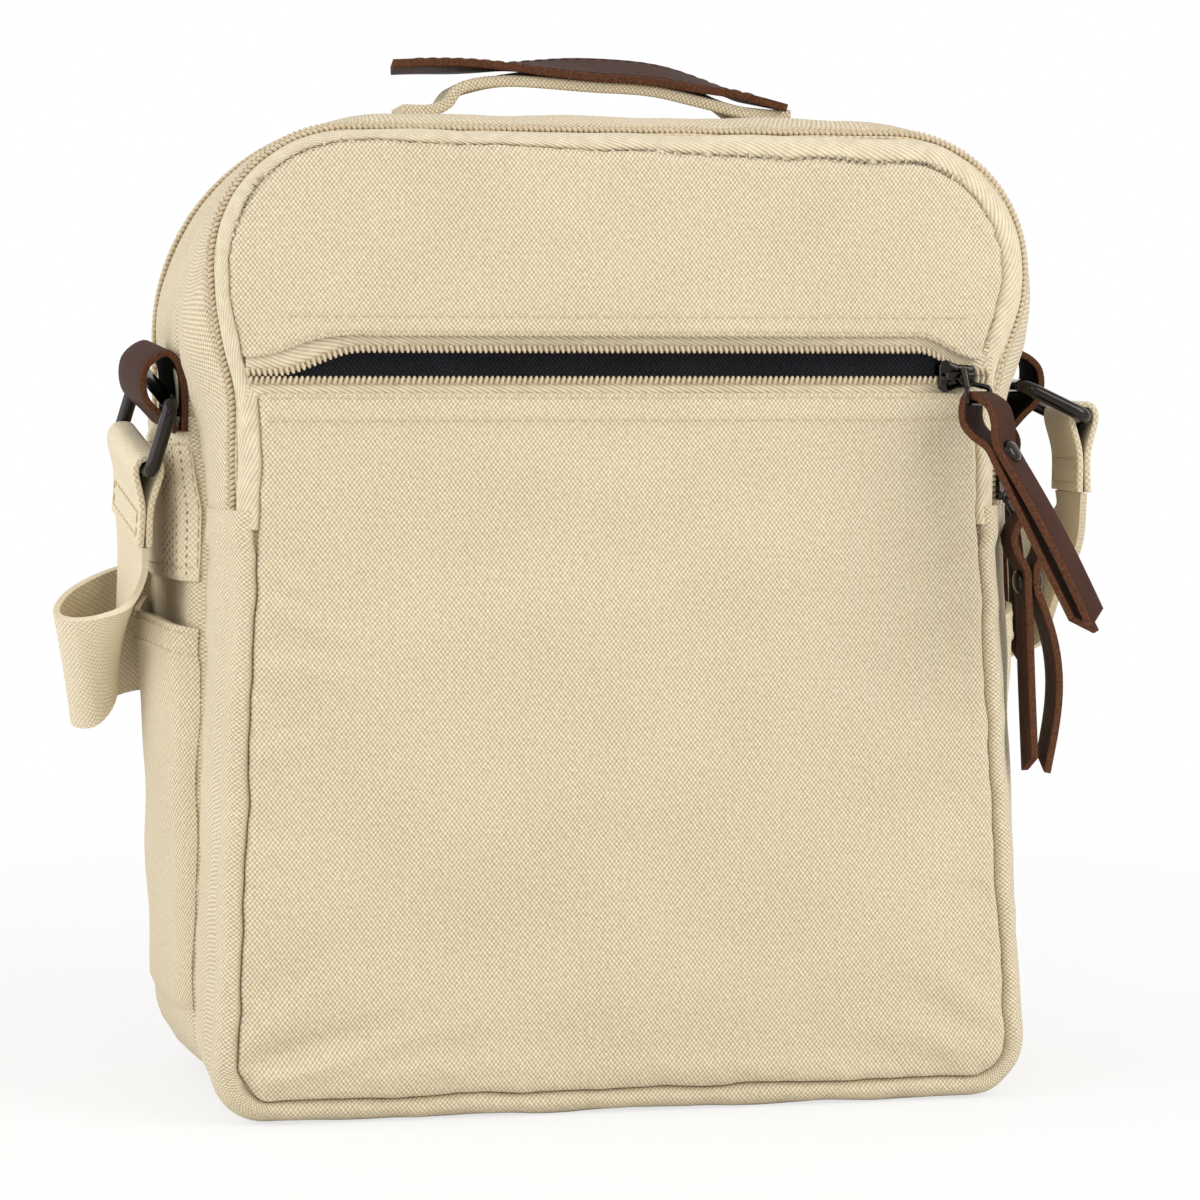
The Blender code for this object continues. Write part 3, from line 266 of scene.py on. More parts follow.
def outward(flat):
    """The normals of outlines, to the left of the way they run."""
    along = unit(np.gradient(flat, axis=-2))
    return np.stack((-along[..., 1], along[..., 0]), axis=-1)


def moved_out(flat, y, lift):
    """Outlines at depths y, moved along their own normals by lift, as points of the bag."""
    flat = flat + outward(flat) * lift[..., None]
    y = np.broadcast_to(np.asarray(y)[:, None], flat.shape[:2])
    return np.stack((flat[..., 0] + aside(y, flat[..., 1]), y, flat[..., 1]), axis=2)


def wander(s, wave, seed):
    """A smooth uneven line between about -1 and 1: three sines of unlike length and phase."""
    phase = np.random.default_rng(seed).uniform(0, 2 * math.pi, 3)
    return (np.sin(2 * math.pi * s / wave + phase[0])
            + 0.6 * np.sin(2 * math.pi * s / (wave * 0.61) + phase[1])
            + 0.45 * np.sin(2 * math.pi * s / (wave * 1.73) + phase[2])) / 1.6


def distance(path):
    """Distance along a path at each of its points."""
    return np.concatenate(([0.0], np.cumsum(np.linalg.norm(np.diff(path, axis=0), axis=1))))


def run_of(flat):
    """Distance along each outline."""
    step = np.linalg.norm(np.diff(flat, axis=1), axis=2)
    return np.concatenate((np.zeros((len(flat), 1)), np.cumsum(step, axis=1)), axis=1)


def put_mesh(name, points, faces, finishes, spread=None, face_finish=None, sharp_deg=50.0):
    """A smooth-shaded mesh from points in millimetres, with its cloth coordinates in metres."""
    mesh = bpy.data.meshes.new(name)
    mesh.from_pydata((np.asarray(points) * MM).tolist(), [], [list(f) for f in faces])
    for finish in finishes if isinstance(finishes, (list, tuple)) else [finishes]:
        mesh.materials.append(finish)
    if spread is not None:
        corner = np.zeros(len(mesh.loops), np.int32)
        mesh.loops.foreach_get("vertex_index", corner)
        layer = mesh.uv_layers.new(name="cloth")
        layer.data.foreach_set("uv", np.asarray(spread)[corner].astype(np.float32).ravel())
    if face_finish is not None:
        mesh.polygons.foreach_set("material_index", np.asarray(face_finish, np.int32))
    mesh.shade_smooth()
    mesh.set_sharp_from_angle(angle=math.radians(sharp_deg))
    mesh.update()
    piece = bpy.data.objects.new(name, mesh)
    bpy.context.scene.collection.objects.link(piece)
    return piece


def grid_faces(index):
    """Quads of a grid of point numbers, turned to the side of (along a row) x (along a column)."""
    corners = (index[:-1, :-1], index[:-1, 1:], index[1:, 1:], index[1:, :-1])
    return np.stack([c.ravel() for c in corners], axis=1)


def grid_spread(grid):
    """Cloth coordinates in metres: the distance along the middle row and along the middle column."""
    rows, cols = grid.shape[:2]
    return np.stack(np.meshgrid(distance(grid[rows // 2]) * MM, distance(grid[:, cols // 2]) * MM), axis=2)


def cloth(name, outer, thickness, finish, spread=None):
    """A closed sheet: a grid, the same grid moved back along its normals by the thickness, and a rim."""
    outer = np.asarray(outer, float)
    rows, cols = outer.shape[:2]
    count = rows * cols
    normal = unit(np.cross(np.gradient(outer, axis=1), np.gradient(outer, axis=0)))
    inner = outer - normal * thickness
    index = np.arange(count).reshape(rows, cols)
    quads = grid_faces(index)
    border = np.concatenate((index[0], index[1:, -1], index[-1, -2::-1], index[-2:0:-1, 0]))
    after = np.roll(border, -1)
    rim = np.stack((border, border + count, after + count, after), axis=1)
    faces = np.vstack((quads, quads[:, ::-1] + count, rim))
    flat = (grid_spread(outer) if spread is None else spread).reshape(-1, 2)
    points = np.vstack((outer.reshape(-1, 3), inner.reshape(-1, 3)))
    return put_mesh(name, points, faces, finish, np.vstack((flat, flat)))


def dress(piece, body, slot, *nodes):
    """The piece rides on a body and stands for the named solids; the slot is not used."""
    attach(piece, body)
    if nodes:
        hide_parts(*nodes)
    return piece


SHADER_INPUTS = {"metallic": "Metallic", "shine": "Specular IOR Level", "sheen": "Sheen Weight",
                 "coat": "Coat Weight", "coat_roughness": "Coat Roughness"}


def plain_finish(name, colour, roughness, **more):
    """A material with one Principled shader; returns it with its tree and that shader."""
    finish = bpy.data.materials.new(name)
    finish.use_nodes = True
    tree = finish.node_tree
    shader = tree.nodes["Principled BSDF"]
    values = {"Base Color": (*colour, 1.0), "Roughness": roughness}
    values.update((SHADER_INPUTS[key], value) for key, value in more.items())
    for key, value in values.items():
        shader.inputs[key].default_value = value
    return finish, tree, shader


def math_node(tree, operation, first, second=None, third=None):
    """The output of one Math node."""
    inputs = {k: v for k, v in enumerate((first, second, third)) if v is not None}
    return node(tree, "ShaderNodeMath", inputs, operation=operation).outputs[0]


def two_tones(tree, share, low, high):
    """A colour between two, by share."""
    inputs = {0: share, 6: (*low, 1.0), 7: (*high, 1.0)}
    return node(tree, "ShaderNodeMix", inputs, data_type="RGBA").outputs[2]


def cloth_place(tree):
    """The cloth coordinates and their two parts."""
    place = node(tree, "ShaderNodeUVMap", uv_map="cloth").outputs[0]
    parts = node(tree, "ShaderNodeSeparateXYZ", {0: place})
    return place, parts.outputs[0], parts.outputs[1]


def noise(tree, place, scale, detail):
    """The output of one Noise texture."""
    return node(tree, "ShaderNodeTexNoise", {"Vector": place, "Scale": scale, "Detail": detail}).outputs[0]


def mottle(tree, shader, share, low, high):
    """The shader's colour goes between two, by share."""
    tree.links.new(two_tones(tree, share, low, high), shader.inputs["Base Color"])


def mottled_finish(name, colour, roughness, scale, detail, low, high, **more):
    """A finish in two tones by noise on the object; returns its tree, shader, coordinates and noise too."""
    finish, tree, shader = plain_finish(name, colour, roughness, **more)
    place = node(tree, "ShaderNodeTexCoord").outputs["Object"]
    cloud = noise(tree, place, scale, detail)
    mottle(tree, shader, cloud, low, high)
    return finish, tree, shader, place, cloud


def raise_surface(tree, shader, height, strength, depth):
    """Relief from a height, on the shader's normal."""
    relief = node(tree, "ShaderNodeBump", {"Height": height, "Strength": strength, "Distance": depth})
    tree.links.new(relief.outputs[0], shader.inputs["Normal"])


CANVAS_LIGHT = (0.90, 0.80, 0.585)
CANVAS_SHADE = (0.43, 0.345, 0.22)
WARP_PITCH = 0.00058
WEFT_PITCH = 0.00074


def canvas_finish(name, light, shade):
    """Plain weave: the product of two cosines is high where a warp lies on top and low where a weft does."""
    finish, tree, shader = plain_finish(name, light, 0.93, sheen=0.15, shine=0.25)
    place, u, v = cloth_place(tree)
    uneven = noise(tree, place, 420.0, 2.0)
    u = math_node(tree, "MULTIPLY_ADD", uneven, 0.0005, u)
    v = math_node(tree, "MULTIPLY_ADD", uneven, 0.0004, v)
    warp = math_node(tree, "COSINE", math_node(tree, "MULTIPLY", u, math.pi / WARP_PITCH))
    weft = math_node(tree, "COSINE", math_node(tree, "MULTIPLY", v, math.pi / WEFT_PITCH))
    over = math_node(tree, "MULTIPLY_ADD", math_node(tree, "MULTIPLY", warp, weft), 0.5, 0.5)
    slub = noise(tree, place, 900.0, 1.0)
    cloud = noise(tree, place, 28.0, 3.0)
    peak = math_node(tree, "POWER", over, 1.7)
    tone = math_node(tree, "MULTIPLY_ADD", slub, 0.5, math_node(tree, "MULTIPLY_ADD", peak, 1.0, -0.25))
    tone = math_node(tree, "MULTIPLY_ADD", cloud, 0.22, tone)
    mottle(tree, shader, tone, shade, light)
    raise_surface(tree, shader, over, 0.75, 0.0004)
    return finish


canvas = canvas_finish("khaki_canvas", CANVAS_LIGHT, CANVAS_SHADE)


def edge_roll(near, reach, depth):
    """How far cloth rolls in at a seam: a quarter of an ellipse, depth at the seam and nought at reach."""
    return depth * (1 - np.sqrt(1 - (1 - np.clip(near / reach, 0, 1)) ** 2))


def seam_inset(flat):
    """How far the front seam is inside the outline: above the pocket less at the left, more at the right."""
    x, z = flat[..., 0], flat[..., 1]
    above = smooth_step((z - 183.0) / 14.0)
    uneven = 0.3 * wander(x + 0.8 * z, 39.0, 91) + 0.2 * wander(z - 0.6 * x, 17.0, 92)
    tuck = 1.6 * np.exp(-((x + 103.0) / 6.0) ** 2 - ((z - 9.0) / 5.0) ** 2)
    return 6.4 + (2.0 * np.clip(x / 60.0, -1, 1) - 0.3) * above + uneven + tuck


def band(name, nodes, outline, end_z, y, rolls, puff, pucker, seed, extra=None, inset=0.0, thickness=CANVAS,
         finish=canvas, slot="canvas"):
    """A band round the outline: it rolls in at its front and rear seam, puffs up beside them and puckers."""
    y = np.asarray(y, float)
    inset = np.broadcast_to(inset, y.shape)[:, None]
    flat = outline(y, end_z)
    s = run_of(flat)
    lift = 0.35 * wander(s + 0.7 * y[:, None], 47.0, seed + 1) * (1 - inset) - seam_inset(flat) * inset
    lift = lift + 3 * pucker * inset * (1 - inset) * wander(s, 17.0, seed + 2)
    for near, (reach, depth) in (((y - y[0])[:, None], rolls[0]), ((y[-1] - y)[:, None], rolls[1])):
        bell = np.exp(-((near - reach) / (1.2 * reach + 0.5)) ** 2)
        lift = lift - edge_roll(near, reach, depth)
        if depth > 1:
            lift = lift + puff * bell + pucker * np.exp(-near / 7.0) * wander(s, 13.0, seed)
    if extra is not None:
        lift = lift + extra(flat, y)
    return dress(cloth(name, moved_out(flat, y, lift), thickness, finish), "bag", slot, *nodes)


def dense(first, last, count):
    """Depths from first to last, closer together near both ends."""
    t = np.linspace(-1, 1, count)
    return (first + last) / 2 + (last - first) / 2 * np.sin(t * math.pi / 2)


def hem_rise(edge_z, depth, height):
    """A lift for the turned end of a gusset: a smooth step up within depth of its edge."""
    return lambda flat, y: height / (1 + np.exp(-(flat[..., 1] - edge_z + depth) / 0.45))


FRONT_HEM_Z = 157.6
FRONT_BAND_Z = 153.0
MAIN_HEM_Z = 181.4
MAIN_BAND_Z = 177.0
SEAM_REAR = dense(-37.0, -8.6, 32)
INNER = np.linspace(0, math.pi / 2, 9)[:-1]
OUTER = np.linspace(math.pi / 2, 0, 18)[:-1]
gusset_y = np.concatenate(((-42.4, -42.7), -43.2 - 2.3 * np.sin(INNER), -37.0 - 8.5 * np.sin(OUTER),
                           SEAM_REAR))
gusset_inset = np.concatenate(((1.7, 1.25), 0.64 + 0.36 * np.cos(INNER), 0.64 * (1 - np.cos(OUTER)),
                               np.zeros(len(SEAM_REAR))))
band("front_gusset_canvas", ["front_gusset"], under_base, FRONT_HEM_Z, gusset_y, ((1.0, 0.0), (2.5, 2.4)),
     0.9, 0.45, 3, hem_rise(FRONT_HEM_Z, 9.5, 1.0), gusset_inset)
band("front_band_canvas", ["front_zip_band"], over_top, FRONT_BAND_Z, dense(-35.6, -8.6, 32),
     ((1.2, 0.9), (3.0, 3.0)), 0.9, 0.35, 5)
band("main_gusset_canvas", ["main_gusset"], under_base, MAIN_HEM_Z, dense(-7.4, 49.4, 46),
     ((2.5, 2.6), (3.0, 2.4)), 0.8, 0.45, 7, hem_rise(MAIN_HEM_Z, 9.0, 0.9))
band("main_front_band_canvas", ["main_zip_front_band"], over_top, MAIN_BAND_Z, dense(-7.4, 38.4, 40),
     ((3.0, 3.0), (1.2, 0.9)), 0.8, 0.35, 9)
band("main_rear_band_canvas", ["main_zip_rear_band"], over_top, MAIN_BAND_Z, dense(44.6, 49.4, 16),
     ((1.0, 0.8), (2.6, 2.2)), 0.5, 0.3, 11)

# The back is one panel that swells a little, and the divider is the panel between the two compartments.
# Each is drawn from its seam in to its middle.


def ring_faces(count, around):
    """Point numbers of rings one after the other, and the quads between them all the way round."""
    index = np.arange(count * around).reshape(count, around)
    return index, grid_faces(np.concatenate((index, index[:, :1]), axis=1))


def panel(name, outline, face_y, thickness, finish, rings=46, front=True):
    """A face of cloth: its outline drawn in to the middle in rings, each point at the depth face_y gives."""
    outline = np.asarray(outline, float)
    outline = outline[::-1] if front else outline
    middle = (outline.max(axis=0) + outline.min(axis=0)) / 2
    share = np.linspace(0, 1, rings, endpoint=False) ** 1.35
    flat = outline[None] * (1 - share[:, None, None]) + middle * share[:, None, None]
    flat = np.vstack((flat.reshape(-1, 2), middle[None]))
    y = face_y(flat[:, 0], flat[:, 1])
    count = len(flat)
    index, quads = ring_faces(rings, len(outline))
    last = index[-1]
    first = index[0]
    second = np.roll(first, -1)
    fan = np.stack((last, np.roll(last, -1), np.full(len(last), count - 1)), axis=1)
    rim = np.stack((first, first + count, second + count, second), axis=1)
    parts = (quads, fan, quads[:, ::-1] + count, fan[:, ::-1] + count, rim)
    faces = [f for part in parts for f in part.tolist()]
    back = thickness if front else -thickness
    points = np.vstack([np.column_stack((flat[:, 0], depth, flat[:, 1])) for depth in (y, y + back)])
    return put_mesh(name, points, faces, finish, np.vstack((flat, flat)) * MM)


def away(x, z, edge):
    """Distance of each point from the nearest point of an edge."""
    far = np.full(x.shape, np.inf)
    for part in np.array_split(np.asarray(edge, float), 8):
        far = np.minimum(far, np.min(np.hypot(x[:, None] - part[:, 0], z[:, None] - part[:, 1]), axis=1))
    return far


def ring_outline(y):
    """The whole outline at one depth."""
    over = over_top(np.array([y]), WAIST_Z)[0]
    under = under_base(np.array([y]), WAIST_Z)[0]
    return np.vstack((over, under[1:-1]))


back_edge = ring_outline(49.4)


def back_depth(x, z):
    """The back swells out by about 4 mm at its middle, and is drawn in at its seam."""
    near = away(x, z, back_edge)
    swell = 4.0 * (1 - np.exp(-near / 45.0)) - edge_roll(near, 3.0, 2.6)
    return 50.8 + swell + 0.5 * wander(x + 0.6 * z, 70.0, 21)


back_panel = panel("back_canvas", back_edge, back_depth, CANVAS, canvas, front=False)
dress(back_panel, "bag", "canvas", "back_panel")
divider = panel("divider_canvas", ring_outline(DIVIDER_Y), lambda x, z: np.full(x.shape, -8.8),
                CANVAS, canvas, rings=12)
dress(divider, "bag", "canvas", "divider_panel")

# Front faces: one panel above the pocket zip and one below it, sewn to the gusset round their outer edge.
# The pocket's face is hemmed along the zip, bellies out below, and is drawn into small folds at its corners.
POCKET_ROW_HALF = 93.0
LOWER_EDGE_Z = 187.65
UPPER_EDGE_Z = 196.35
FACE_Y = -46.9
HEM = 7.6
# Middle x and z, angle, length, width and height of each fold
POCKET_FOLDS = ((-88.0, 14.0, 14.0, 44.0, 3.1, 1.7), (-93.0, 26.0, 38.0, 34.0, 4.0, 0.8),
                (-62.0, 12.5, 3.0, 44.0, 3.5, 0.6), (86.0, 16.0, 166.0, 42.0, 4.5, 0.9),
                (93.0, 25.0, 142.0, 30.0, 4.0, 0.7), (-90.0, 131.0, -24.0, 24.0, 2.6, 0.7),
                (-92.0, 141.0, -38.0, 18.0, 2.2, 0.6), (-90.0, 117.0, -8.0, 26.0, 3.0, 0.6),
                (-96.0, 96.0, 12.0, 22.0, 2.6, 0.5), (-97.0, 70.0, 4.0, 18.0, 2.4, 0.4),
                (89.0, 150.0, 205.0, 26.0, 3.0, 0.6), (92.0, 132.0, 190.0, 24.0, 3.0, 0.6),
                (94.0, 108.0, 172.0, 22.0, 2.6, 0.5), (97.0, 60.0, 178.0, 20.0, 2.6, 0.4),
                (20.0, 11.5, 178.0, 60.0, 3.0, 0.5), (-20.0, 30.0, 4.0, 120.0, 9.0, 0.5))


def mouth_lift(x):
    """How far the upper row of the pocket zip stands open: a smooth rise from each end."""
    return 6.0 * smooth_step((POCKET_ROW_HALF - x) / 16.0) * smooth_step((POCKET_ROW_HALF + x) / 22.0)


def edge_lift(x):
    """How far the upper face's edge lifts: with its row of teeth, and a little more at the left end."""
    return mouth_lift(x) + 2.6 * np.exp(-((x + 86.0) / 9.0) ** 2)


def folds(x, z, lines):
    """The sum of soft ridges: each is a bell across its line and fades towards both of its ends."""
    total = np.zeros_like(x)
    for at_x, at_z, angle, length, width, height in lines:
        turn = math.radians(angle)
        along = (x - at_x) * math.cos(turn) + (z - at_z) * math.sin(turn)
        across = (z - at_z) * math.cos(turn) - (x - at_x) * math.sin(turn)
        bell = np.exp(-(across / width) ** 2) - 0.6 * np.exp(-((across - 1.9 * width) / width) ** 2)
        total = total + 1.5 * height * bell * np.exp(-(along / (0.6 * length)) ** 2)
    return total


def sewn_edge(flat):
    """A front face's sewn edge: the outline moved in to the seam."""
    flat = flat - outward(flat) * seam_inset(flat)[:, None]
    return flat + np.column_stack((aside(FRONT_Y, flat[:, 1]), np.zeros(len(flat))))


pocket_sewn = sewn_edge(under_base(np.array([FRONT_Y]), LOWER_EDGE_Z)[0])
pocket_hem_x = np.linspace(pocket_sewn[-1, 0], pocket_sewn[0, 0], 90)
pocket_hem = np.column_stack((pocket_hem_x, np.full(90, LOWER_EDGE_Z)))
pocket_edge = np.vstack((pocket_sewn, pocket_hem[1:-1]))


def pocket_depth(x, z):
    """Depth of the pocket's face: a quick rise from the seam, a wide belly, the double hem and the folds."""
    near = away(x, z, pocket_sewn)
    below = LOWER_EDGE_Z - z
    height = np.clip((z - 6.0) / 186.0, 0, 1)
    belly = np.clip(1 - (np.abs(x) / 103.0) ** 2.2, 0, 1) * np.sin(math.pi * height ** 0.7)
    hem = 0.45 / (1 + np.exp((below - HEM) / 0.35)) - 0.9 * np.exp(-below / 0.35)
    ease = 1 - np.exp(-near / 9.0)
    soft = 0.45 * wander(x * 0.8 + z * 0.35, 64.0, 31) + 0.35 * wander(z - 0.2 * x, 48.0, 33)
    pucker = 0.45 * np.exp(-near / 6.0) * wander(x + z, 11.0, 35)
    tuck = 2.8 * np.exp(-((x + 99.5) / 3.5) ** 2 - ((z - 10.5) / 3.5) ** 2)
    out = 3.3 * belly + hem + ease * soft + pucker - tuck - edge_roll(near, 3.0, 3.7)
    return FACE_Y - out - folds(x, z, POCKET_FOLDS) * (1 - np.exp(-near / 2.0))


pocket_face = panel("pocket_face_canvas", pocket_edge, pocket_depth, CANVAS, canvas, rings=64)
dress(pocket_face, "bag", "canvas", "front_pocket_face")

arch = sewn_edge(over_top(np.array([FRONT_Y]), UPPER_EDGE_Z)[0])
mouth_x = np.linspace(arch[-1, 0], arch[0, 0], 110)
mouth_edge = np.column_stack((mouth_x, UPPER_EDGE_Z + edge_lift(mouth_x)))


def upper_depth(x, z):
    """Depth of the upper face: a quick rise from the seam, a low belly, and a turned edge at the mouth."""
    near = away(x, z, arch)
    above = z - UPPER_EDGE_Z - edge_lift(x)
    belly = np.clip(1 - (np.abs(x) / 97.0) ** 2.4, 0, 1)
    turned = -0.8 * np.exp(-np.maximum(above, 0) / 0.35)
    soft = 0.35 * wander(x + 0.5 * z, 58.0, 41)
    pucker = 0.3 * np.exp(-near / 5.0) * wander(x + z, 10.0, 43)
    return FACE_Y + edge_roll(near, 3.0, 3.7) - 1.5 * belly - turned - soft - pucker


def looked_up(at, run, rows):
    """Rows of values at places along a run, in straight lines between the rows."""
    return np.stack([np.interp(at, run, column) for column in rows.T], axis=1)


def respaced(path, count):
    """A path's points at even shares of its length, closer together near both ends."""
    run = distance(path)
    return looked_up(dense(0.0, run[-1], count), run, path)


def four_sided(low, high, left, right):
    """A grid inside four edges: the ruled surfaces between opposite edges, less that through the corners."""
    u = dense(0.0, 1.0, len(low))[None, :, None]
    v = dense(0.0, 1.0, len(left))[:, None, None]
    up = (1 - v) * low[None] + v * high[None]
    over = (1 - u) * left[:, None] + u * right[:, None]
    corners = (1 - v) * ((1 - u) * low[0] + u * low[-1]) + v * ((1 - u) * high[0] + u * high[-1])
    return up + over - corners


lip = np.vstack((arch[:1], mouth_edge[-2:0:-1], arch[-1:]))
rise = np.linalg.norm(np.diff(arch, axis=0), axis=1).cumsum()
turn_left, turn_right = np.searchsorted(rise, (0.17 * rise[-1], 0.83 * rise[-1]))
upper_flat = four_sided(respaced(lip, 190), respaced(arch[turn_left:turn_right + 1], 190),
                        respaced(arch[:turn_left + 1], 64), respaced(arch[turn_right:][::-1], 64))
upper_y = upper_depth(upper_flat[..., 0].ravel(), upper_flat[..., 1].ravel()).reshape(upper_flat.shape[:2])
upper_grid = np.stack((upper_flat[..., 0], upper_y, upper_flat[..., 1]), axis=2)
upper_face = cloth("upper_front_canvas", upper_grid, CANVAS, canvas, upper_flat * MM)
dress(upper_face, "bag", "canvas", "upper_front_panel")

# The lining is near black: a dark lining, and painted shade inside the pocket's open mouth.
LINING_DARK = (0.012, 0.012, 0.016)
LINING_PALE = (0.045, 0.045, 0.055)
lining = canvas_finish("dark_lining", LINING_PALE, LINING_DARK)
lining_edge = (ring_outline(FRONT_Y) - (0.0, 100.0)) * (0.925, 0.92) + (0.0, 101.0)


def lining_depth(x, z):
    """The lining hangs back from the faces by 7 mm at its middle."""
    back = 7.0 * (1 - np.exp(-away(x, z, lining_edge) / 22.0))
    return -43.6 + back + 0.7 * wander(x + 0.4 * z, 34.0, 51)


lining_panel = panel("pocket_lining", lining_edge, lining_depth, 1.0, lining, rings=24)
dress(lining_panel, "bag", "lining", "front_lining")

# Sewing thread: each stitch is a short spindle that sinks into the cloth at both ends.
# Rows run along the pocket's hem, the upper face's turned edge and the top of the pocket's lining.
# The thread is a little darker than the canvas: painted shade at each stitch.
thread, thread_tree, thread_shader = plain_finish("khaki_thread_painted_shade", (0.66, 0.55, 0.36), 0.7)
thread_noise = node(thread_tree, "ShaderNodeTexNoise", {"Scale": 2500.0, "Detail": 1.0}).outputs[0]
mottle(thread_tree, thread_shader, thread_noise, (0.48, 0.38, 0.23), (0.72, 0.61, 0.41))
SPINDLE = ((-0.5, 0.25), (-0.3, 0.85), (0.0, 1.0), (0.3, 0.85), (0.5, 0.25))


def spindle_shape(profile, sides):
    """Rings of a turned shape: places along its length by share, and radii, with its end faces."""
    turn = 2 * math.pi * np.arange(sides) / sides
    rings = np.array([[(place, radius * math.cos(t), radius * math.sin(t)) for t in turn]
                      for place, radius in profile])
    index, quads = ring_faces(len(profile), sides)
    return rings.reshape(-1, 3), quads.tolist() + [index[0][::-1].tolist(), index[-1].tolist()]


def repeated(name, shape, origins, axes, finish):
    """One mesh of many copies of a small shape, each at its origin on its own three axes."""
    points, faces = shape
    placed = origins[:, None] + np.einsum("vk,mkc->mvc", points, axes)
    count = len(points)
    many = [[i + count * m for i in f] for m in range(len(origins)) for f in faces]
    return put_mesh(name, placed.reshape(-1, 3), many, finish, sharp_deg=80.0)


def even_steps(path, pitch, start=0.5):
    """Places every pitch along a path, with the direction there; returns shares of the path's points too."""
    run = distance(path)
    at = np.arange(start * pitch, run[-1], pitch)
    ways = unit(looked_up(at, run, unit(np.gradient(path, axis=0))))
    return looked_up(at, run, path), ways, np.interp(at, run, np.arange(len(path)))


def stitches(name, rows, body="bag", length=2.7, pitch=3.7, radius=0.3, finish=thread):
    """Rows of stitches; each row is a path and the outward direction along it."""
    origins = []
    axes = []
    for path, outward in rows:
        path = np.asarray(path, float)
        outward = np.broadcast_to(np.asarray(outward, float), path.shape)
        spots, ways, share = even_steps(path, pitch)
        out = unit(looked_up(share, np.arange(len(path)), outward))
        across = unit(np.cross(out, ways))
        origins.append(spots + out * radius * 0.35)
        axes.append(np.stack((ways * length, across * radius, out * radius * 0.8), axis=1))
    piece = repeated(name, spindle_shape(SPINDLE, 6), np.vstack(origins), np.concatenate(axes), finish)
    return dress(piece, body, "canvas")


def face_row(x, z, depth):
    """A row of points on a front face."""
    return np.column_stack((x, depth(np.asarray(x, float), np.asarray(z, float)), z))


LINING_SEAM_Z = 207.5
hem_x = np.linspace(-95.0, 95.0, 160)
face_rows = (face_row(hem_x, np.full(160, LOWER_EDGE_Z - 1.1), pocket_depth),
             face_row(hem_x * 1.005, np.full(160, LOWER_EDGE_Z - 6.9), pocket_depth),
             face_row(mouth_x[4:-4], mouth_edge[4:-4, 1] + 1.3, upper_depth),
             face_row(np.linspace(-90.0, 90.0, 160), np.full(160, LINING_SEAM_Z), upper_depth))
stitches("front_face_stitches", [(row, (0, -1, 0)) for row in face_rows])

# Zips: two rows of nylon coil on twill tape. Two run over the top of the bag, one across the front pocket.
# The pocket's zip stands open, so its two rows part between their ends.
TAPE_LIGHT = (0.84, 0.745, 0.54)
TAPE_SHADE = (0.44, 0.35, 0.22)
COIL_LIGHT = (0.76, 0.65, 0.46)
COIL_SHADE = (0.44, 0.34, 0.21)


def twill_finish(name, light, shade, pitch):
    """Fine twill: slanted lines, a sine of the sum of both cloth directions, over a soft uneven tone."""
    finish, tree, shader = plain_finish(name, light, 0.85, sheen=0.15)
    place, u, v = cloth_place(tree)
    slope = math_node(tree, "MULTIPLY_ADD", u, 0.5, v)
    slant = math_node(tree, "SINE", math_node(tree, "MULTIPLY", slope, 2 * math.pi / pitch))
    lines = math_node(tree, "MULTIPLY_ADD", slant, 0.5, 0.5)
    uneven = noise(tree, place, 300.0, 3.0)
    tone = math_node(tree, "MULTIPLY_ADD", lines, 0.55, math_node(tree, "MULTIPLY", uneven, 0.7))
    mottle(tree, shader, tone, shade, light)
    raise_surface(tree, shader, lines, 0.6, 0.0004)
    return finish


tape = twill_finish("twill_tape", TAPE_LIGHT, TAPE_SHADE, 0.0011)


def sunk(depth):
    """A lift for a tape that lies below the cloth beside it."""
    return lambda flat, y: np.full(flat.shape[:2], -depth)


TAPE_TURN = np.linspace(math.radians(158.0), 0, 26)
tape_share = (1 - np.cos(TAPE_TURN)) / (1 - math.cos(TAPE_TURN[0]))
tape_y = np.concatenate(((-42.6, -43.0), -40.1 - 3.2 * tape_share - 3.2 * np.sin(TAPE_TURN)))
tape_inset = np.concatenate(((1.9, 1.3), 0.14 + 0.86 * tape_share))
zip_tape = {"finish": tape, "slot": "zip_tape"}
flat_edges = ((1.0, 0.1), (1.0, 0.1))
band("front_tape", ["front_zip_tape"], over_top, FRONT_BAND_Z, tape_y, ((1.0, 0.0), (1.0, 0.0)),
     0.0, 0.15, 13, inset=tape_inset, thickness=0.9, **zip_tape)
band("front_inner_tape", [], over_top, FRONT_BAND_Z, dense(-40.4, -34.6, 10), flat_edges, 0.0, 0.0, 17,
     sunk(0.8), thickness=0.6, **zip_tape)
band("main_tape", [], over_top, MAIN_BAND_Z, dense(37.6, 45.4, 12), flat_edges, 0.0, 0.0, 19,
     sunk(0.8), thickness=0.6, **zip_tape)

coil = mottled_finish("nylon_coil", COIL_LIGHT, 0.42, 700.0, 2.0, COIL_SHADE, COIL_LIGHT, shine=0.4)[0]
TOOTH = ((-0.5, 0.3), (-0.42, 0.75), (-0.2, 1.0), (0.2, 1.0), (0.42, 0.75), (0.5, 0.3))
TOOTH_PITCH = 1.45
MAIN_ZIP_Y = 41.5


def tooth_axes(ways, out, across, slant, length, half_wide, half_high):
    """The axes of coil teeth: each lies across the zip, turned along it by slant."""
    turn = math.radians(slant)
    lie = unit(across * math.cos(turn) + ways * math.sin(turn))
    rise = unit(out - lie * np.sum(out * lie, axis=1, keepdims=True))
    return np.stack((lie * length, np.cross(rise, lie) * half_wide, rise * half_high), axis=1)


